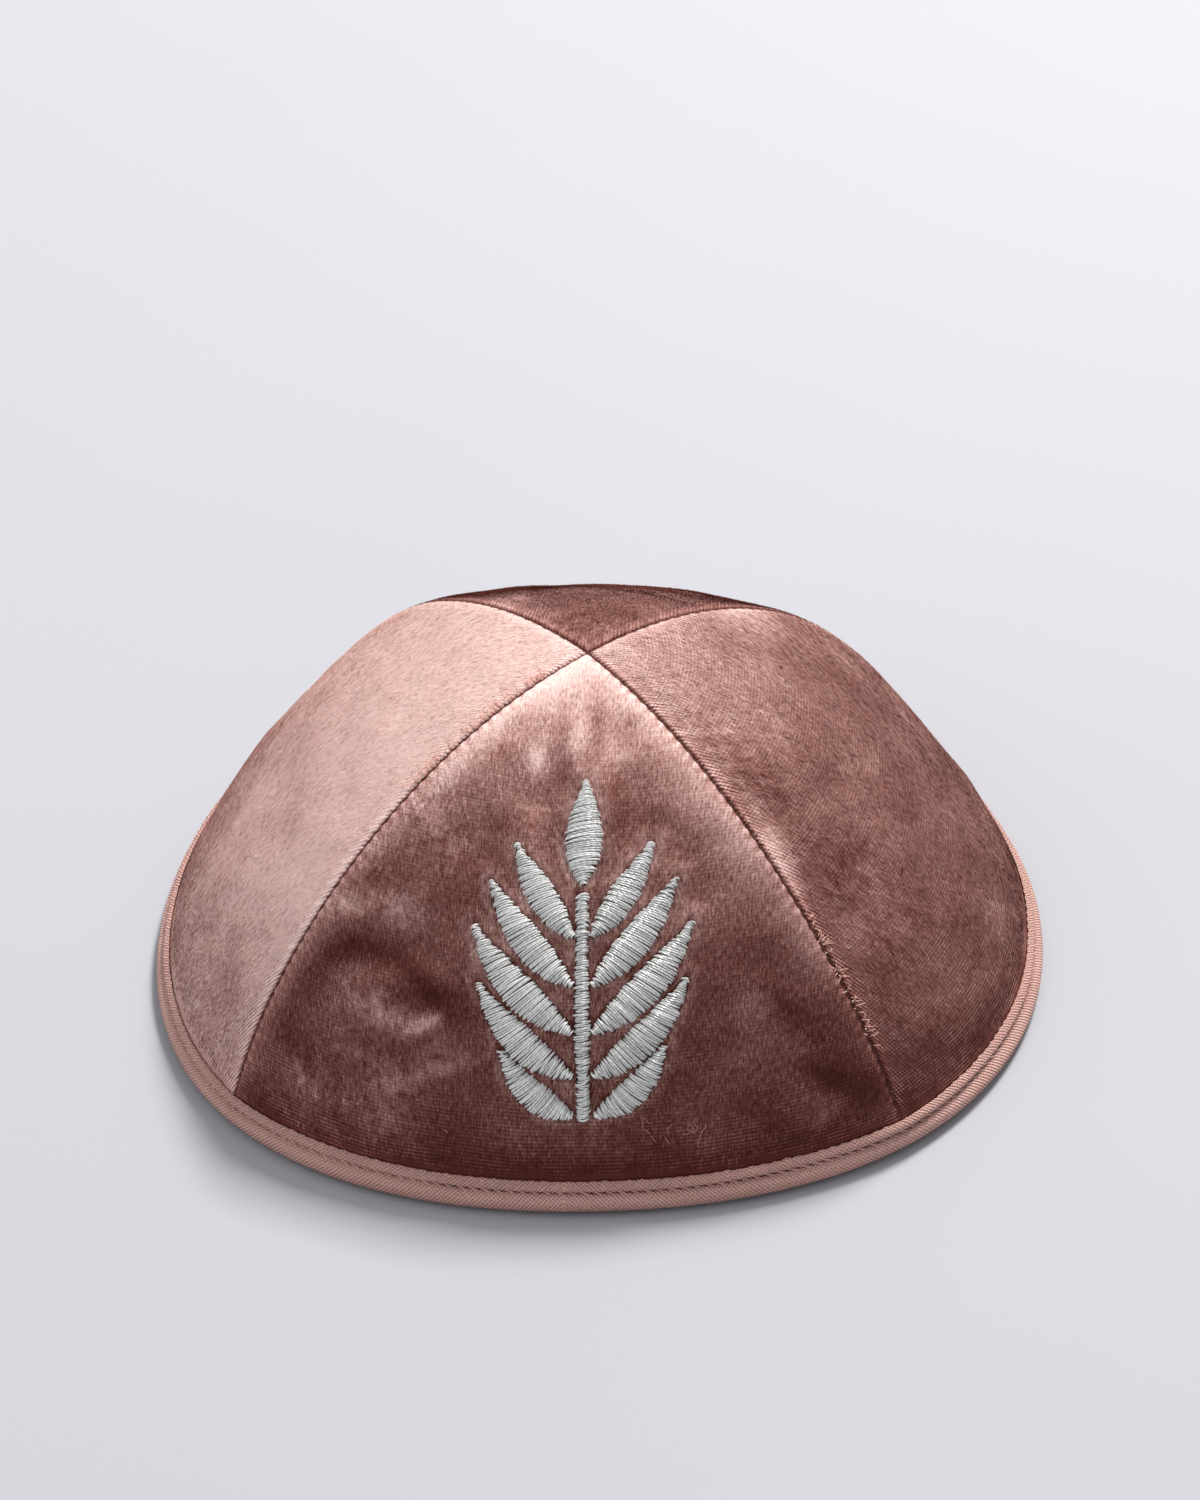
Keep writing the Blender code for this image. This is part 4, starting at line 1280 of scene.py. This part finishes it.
def add_seam_stitches(material, recipe):
    """The short stitches that hold two gores together, down in each seam."""
    step, depth = (np.array([row[key] for row in SEAM_STITCH]) for key in ("step", "depth"))
    lines = []
    for seam in range(len(SEAMS)):
        length = MIDDLE_LINES[seam][1][-1]
        for start in np.arange(SEAM_FIRST, length - SEAM_LAST, SEAM_PITCH):
            rise = rise_at(seam, start + step * SEAM_PITCH)
            lines.append(skin(seam, gore_edges(seam, rise)[0], rise, SEAM_SINK + depth))
    tints = np.tile([-1.0, 1.0], len(lines))[: len(lines)]
    return add_threads("seam_stitches", lines, tints, SEAM_THREAD, 5, material, recipe)


def add_stray_fibres(material, recipe):
    """A few loose, curled fibres that lie on the front gore, as places on its flat cloth."""
    length = MIDDLE_LINES[FRONT][1][-1]
    chance = np.random.default_rng(5)
    lines, share = [], np.linspace(0, math.pi, STRAY_STEPS)
    for row in STRAYS:
        stride = row["long"] / STRAY_STEPS
        for _ in range(row["fibres"]):
            way = chance.uniform(0, TURN) + np.cumsum(chance.normal(*STRAY_CURL, STRAY_STEPS))
            across = (row["across"] + chance.normal(0, row["spread"])) * length
            across = across + np.cumsum(np.cos(way)) * stride
            along = (row["up"] + chance.normal(0, row["spread"] / 2)) * length
            along = along + np.cumsum(np.sin(way)) * stride
            arches = np.sin(share * chance.uniform(*STRAY_ARCHES)) ** 2
            height = STRAY_HEIGHT + STRAY_HEIGHT * arches
            lines.append(on_gore(FRONT, across, along, height))
    tints = chance.uniform(-1, 1, len(lines))
    return add_threads("stray_fibres", lines, tints, STRAY_RADIUS, 4, material, recipe)


def add_seam_frays(material, recipe):
    """Short cut ends that stand out of the seams."""
    chance = np.random.default_rng(6)
    lines = []
    for row in SEAM_FRAYS:
        gore = row["gore"]
        length = MIDDLE_LINES[gore][1][-1]
        for _ in range(row["fibres"]):
            along = chance.uniform(*row["up"]) * length
            rise = rise_at(gore, along)
            first, last = gore_edges(gore, rise)
            edge = row["side"] * (last - first) / 2 * crown_radius(gore, (first + last) / 2, rise)
            share, way = np.linspace(0, 1, FRAY_STEPS), chance.uniform(*row["way"])
            long = chance.uniform(*row["long"])
            bend = chance.uniform(-FRAY_BEND, FRAY_BEND) * long * share**2
            height = chance.uniform(*FRAY_HEIGHT) * np.sin(math.pi * share * FRAY_ARCH)
            height = height - FRAY_ROOT * (1 - share)
            across = edge - row["side"] * (FRAY_GAP + share * long * math.cos(way))
            along = along + share * long * math.sin(way) + bend
            lines.append(on_gore(gore, across, along, height))
    tints = chance.uniform(-1, 1, len(lines))
    return add_threads("seam_frays", lines, tints, FRAY_RADIUS, 4, material, recipe)


def velvet_finish(name, fibres):
    """Velvet, either its ground cloth or its fibres. Light and dark streaks run with the nap."""
    finish = Finish(
        name, Roughness=0.58, Sheen_Weight=0.10, Sheen_Roughness=0.4,
        Sheen_Tint=(1.0, 0.60, 0.50, 1.0), Specular_IOR_Level=0.16,
    )
    across, along = finish.cloth_place()
    if fibres:
        along = along + finish.attribute("reach") * finish.attribute("long") * 0.85
    streak, slub, clump, patch = (
        finish.grain(across, along, row["wide"], row["long"], row["detail"], row["roughness"])
        for row in VELVET_GRAIN
    )
    warp = (across * (TURN / WARP_PITCH) + clump * 1.5).maths("SINE") * finish.attribute("warp")
    weft = (along * (TURN / WEFT_PITCH) + clump * 2.0).maths("SINE") * finish.attribute("weft")
    ruffle = finish.attribute("ruffle")
    # The tone attribute carries the gores' painted sheen, painted highlights and painted shade
    tone = finish.attribute("tone") + clump * (0.15 + ruffle * 0.80)
    tone = tone + streak * (1.0 - (finish.attribute("weft") + finish.attribute("warp")) * 0.28)
    tone = tone + (warp + weft) * (0.105 + patch * 0.42).maths("MAXIMUM", 0.0)
    tone = tone + (slub * 0.32 + patch * 0.22) * finish.attribute("weft")
    if fibres:
        # Each fibre gets a random tint, and is painted darker towards its root: painted shade down
        # in the pile
        tone = tone + finish.attribute("shade") * 0.11 + (finish.attribute("reach") - 0.6) * 0.12
        # Fibres that the stitching crowds up are painted lighter: a painted highlight
        tone = tone + finish.attribute("crowd") * 0.17
    else:
        # The ground under the fibres is painted darker: painted shade under the pile
        tone = tone - 0.12
    finish.paint(Base_Color=finish.ramp(tone, VELVET_TONES))
    finish.bump(streak * 0.8 + (warp + weft) * 0.15, 0.0003, 0.6)
    return finish.material


def backing_finish():
    """The plain woven back of the velvet, seen inside the cap."""
    finish = Finish("velvet_backing", Roughness=0.9, Sheen_Weight=0.15, Specular_IOR_Level=0.2)
    across, along = finish.cloth_place()
    warp = (across * (TURN / BACKING_PITCH)).maths("SINE")
    weft = (along * (TURN / BACKING_PITCH)).maths("SINE")
    weave = warp * weft
    patch = finish.grain(across, along, 0.012, 0.012, 3.0)
    stops = ((0.0, (0.20, 0.085, 0.072)), (1.0, (0.36, 0.185, 0.160)))
    finish.paint(Base_Color=finish.ramp(0.5 + weave * 0.18 + patch * 0.6, stops))
    finish.bump(weave, 0.00012, 0.5)
    return finish.material


def twill_finish():
    """The tape's twill: slanting ribs of plump yarn, with painted shade in the groove and at the
    foot and a painted highlight on the roll.
    """
    finish = Finish(
        "rose_twill", Roughness=0.72, Sheen_Weight=0.12, Sheen_Roughness=0.5,
        Sheen_Tint=(1.0, 0.80, 0.74, 1.0), Specular_IOR_Level=0.3,
    )
    run, girth = finish.cloth_place()
    flecks = finish.grain(run, girth, 0.00040, 0.00040)
    shade = finish.grain(run, girth, 0.015, 0.004)
    slant = run * RIB_COSINE + girth * RIB_SINE
    crosswise = run * RIB_SINE - girth * RIB_COSINE
    rib = ((slant + flecks * 0.00018) * (TURN / RIB_PITCH)).maths("SINE")
    yarn = ((crosswise + rib * 0.00008) * (TURN / YARN_PITCH)).maths("SINE")
    tone = 0.66 + rib * 0.20 + yarn * 0.14 + flecks * 0.60 + shade * 0.30
    # Painted shade in the groove and at the foot, and a painted highlight on the roll
    tone = tone - finish.attribute("hole") * 0.85
    stops = (
        (0.0, (0.070, 0.022, 0.017)), (0.25, (0.30, 0.140, 0.113)),
        (0.55, (0.61, 0.305, 0.250)), (1.0, (0.93, 0.58, 0.49)),
    )
    finish.paint(Base_Color=finish.ramp(tone, stops))
    finish.bump(rib * 0.6 + yarn * 0.3 + flecks * 0.4, 0.00022, 1.0)
    return finish.material


def thread_finish(name, dark, light, roughness, twist):
    """Thread with its twist, each stitch of a slightly different tint."""
    finish = Finish(name, Roughness=roughness, Specular_IOR_Level=0.8 if roughness < 0.5 else 0.3)
    ply = ((finish.attribute("run") / twist + finish.attribute("round")) * TURN).maths("SINE")
    tone = 0.6 + finish.attribute("shade") * 0.26 + ply * 0.16
    finish.paint(Base_Color=finish.ramp(tone, ((0.0, dark), (1.0, light))))
    finish.bump(ply, 0.00005, 0.7)
    return finish.material


def padding_shade_finish():
    """The padding that shows between satin stitches, painted dark: painted shade in the gaps
    between them.
    """
    finish = Finish("stitch_padding", Roughness=0.8, Specular_IOR_Level=0.3)
    coordinates = finish.node("ShaderNodeTexCoord", output="Object")
    flecks = finish.noise(coordinates, 2600.0, 2.0)
    stops = ((0.0, (0.05, 0.045, 0.04)), (1.0, (0.16, 0.15, 0.14)))
    finish.paint(Base_Color=finish.ramp(0.5 + flecks, stops))
    finish.bump(flecks, 0.0001, 0.5)
    return finish.material


def floor_finish():
    finish = Finish("pale_floor", Roughness=0.75, Specular_IOR_Level=0.25)
    coordinates = finish.node("ShaderNodeTexCoord", output="Object")
    cloud = finish.noise(coordinates, 3.0, 3.0)
    stops = ((0.0, (0.46, 0.46, 0.485)), (1.0, (0.505, 0.505, 0.53)))
    finish.paint(Base_Color=finish.ramp(0.5 + cloud * 0.8, stops))
    return finish.material


def set_camera():
    camera = bpy.data.cameras.new("camera")
    camera.lens = LENS_MM
    camera.clip_start, camera.clip_end = 0.01, 20.0
    obj = linked("camera", camera)
    aim = (CAMERA_AIM - CAMERA_PLACE).to_track_quat("-Z", "Y").to_matrix().to_4x4()
    obj.matrix_world = Matrix.Translation(CAMERA_PLACE) @ aim @ Matrix.Rotation(CAMERA_ROLL, 4, "Z")
    bpy.context.scene.camera = obj


def set_lights():
    """A pale room, a large soft lamp over the back right, and a weak one from the left."""
    for lamp in LAMPS:
        light = bpy.data.lights.new(lamp["name"], "AREA")
        light.size, light.energy, light.color = lamp["size"], lamp["watts"], lamp["colour"]
        obj = linked(lamp["name"], light)
        obj.location = lamp["place"]
        obj.rotation_euler = (-Vector(lamp["place"])).to_track_quat("-Z", "Y").to_euler()
    world = bpy.data.worlds.new("pale_room")
    world.use_nodes = True
    background = world.node_tree.nodes["Background"]
    background.inputs["Color"].default_value = ROOM_COLOUR
    background.inputs["Strength"].default_value = ROOM_STRENGTH
    bpy.context.scene.world = world
    bpy.context.scene.view_settings.view_transform = "Standard"


def add_floor():
    corners = ((-1, -1), (1, -1), (1, 1), (-1, 1))
    points = np.array([(x * FLOOR_HALF, y * FLOOR_HALF, FLOOR_HEIGHT) for x, y in corners])
    floor = add_mesh("floor", points, [(0, 1, 2, 3)], [floor_finish()])


def flat_size(velvet):
    """(width, length) of a gore's flat cut and its area."""
    cloth = np.empty(len(velvet.data.vertices) * 3, np.float32)
    velvet.data.attributes["cloth"].data.foreach_get("vector", cloth)
    cloth = cloth.reshape(-1, 3)
    outside = sum(face.area for face in velvet.data.polygons if face.material_index == 0)
    return (float(np.ptp(cloth[:, 0])), float(np.ptp(cloth[:, 1]))), outside


def main():
    set_camera()
    set_lights()
    add_floor()

    velvet, fibres = velvet_finish("velvet_ground", False), velvet_finish("velvet_pile", True)
    backing = backing_finish()
    silver = thread_finish("silver_thread", (0.42, 0.41, 0.38), (1.00, 0.985, 0.95), 0.24, 0.0011)
    rose = thread_finish("rose_thread", (0.38, 0.19, 0.155), (0.74, 0.43, 0.365), 0.6, 0.0009)
    maroon = thread_finish("maroon_thread", (0.07, 0.022, 0.018), (0.26, 0.11, 0.09), 0.6, 0.0009)
    lint = thread_finish("pale_lint", (0.92, 0.43, 0.33), (1.00, 0.72, 0.60), 0.6, 0.0009)
    threads = thread_recipe()

    gap_shade_cloth, chance, satin, cores = padding_shade_finish(), np.random.default_rng(2), [], []
    for node, *leaf in sprig_leaves():
        name = node.replace("sprig", "satin")
        padding, stitches = add_satin(name, *leaf, gap_shade_cloth, silver, threads, chance)
        cores.append(linked(f"{name}_core", padding.data.copy()))
        satin.append((joined(name, [padding, stitches]), node))
    shadow = joined("sprig_shadow", cores)

    velvets, piles = [], []
    for gore in range(len(GORES)):
        velvets.append(Gore(gore).add(velvet, backing))
        piles.append(add_pile(gore, velvets[gore], fibres, shadow if gore == FRONT else None))
    bpy.data.objects.remove(shadow)
    tape, stitches, rim_length = add_tape(twill_finish())
    topstitch = add_topstitching(stitches, rose, threads)
    seams = add_seam_stitches(maroon, threads)
    strays, frays = add_stray_fibres(lint, threads), add_seam_frays(lint, threads)

    for row, cloth in zip(GORES, velvets):
        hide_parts(f"gore_{row['side']}")
    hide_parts("rim_binding")
    for piece, node in satin:
        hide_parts(node)
    slots = {
        "velvet": [*velvets, *piles, strays, frays],
        "twill": [tape, topstitch, seams],
        "thread": [piece for piece, _ in satin],
    }
    for slot, pieces in slots.items():
        for piece in pieces:
            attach(piece, "root")

    for gore, (cloth, pile) in enumerate(zip(velvets, piles)):
        size, area = flat_size(cloth)
        on_it = [pile] + ([piece for piece, _ in satin] + [strays, frays] if gore == FRONT else [])


main()
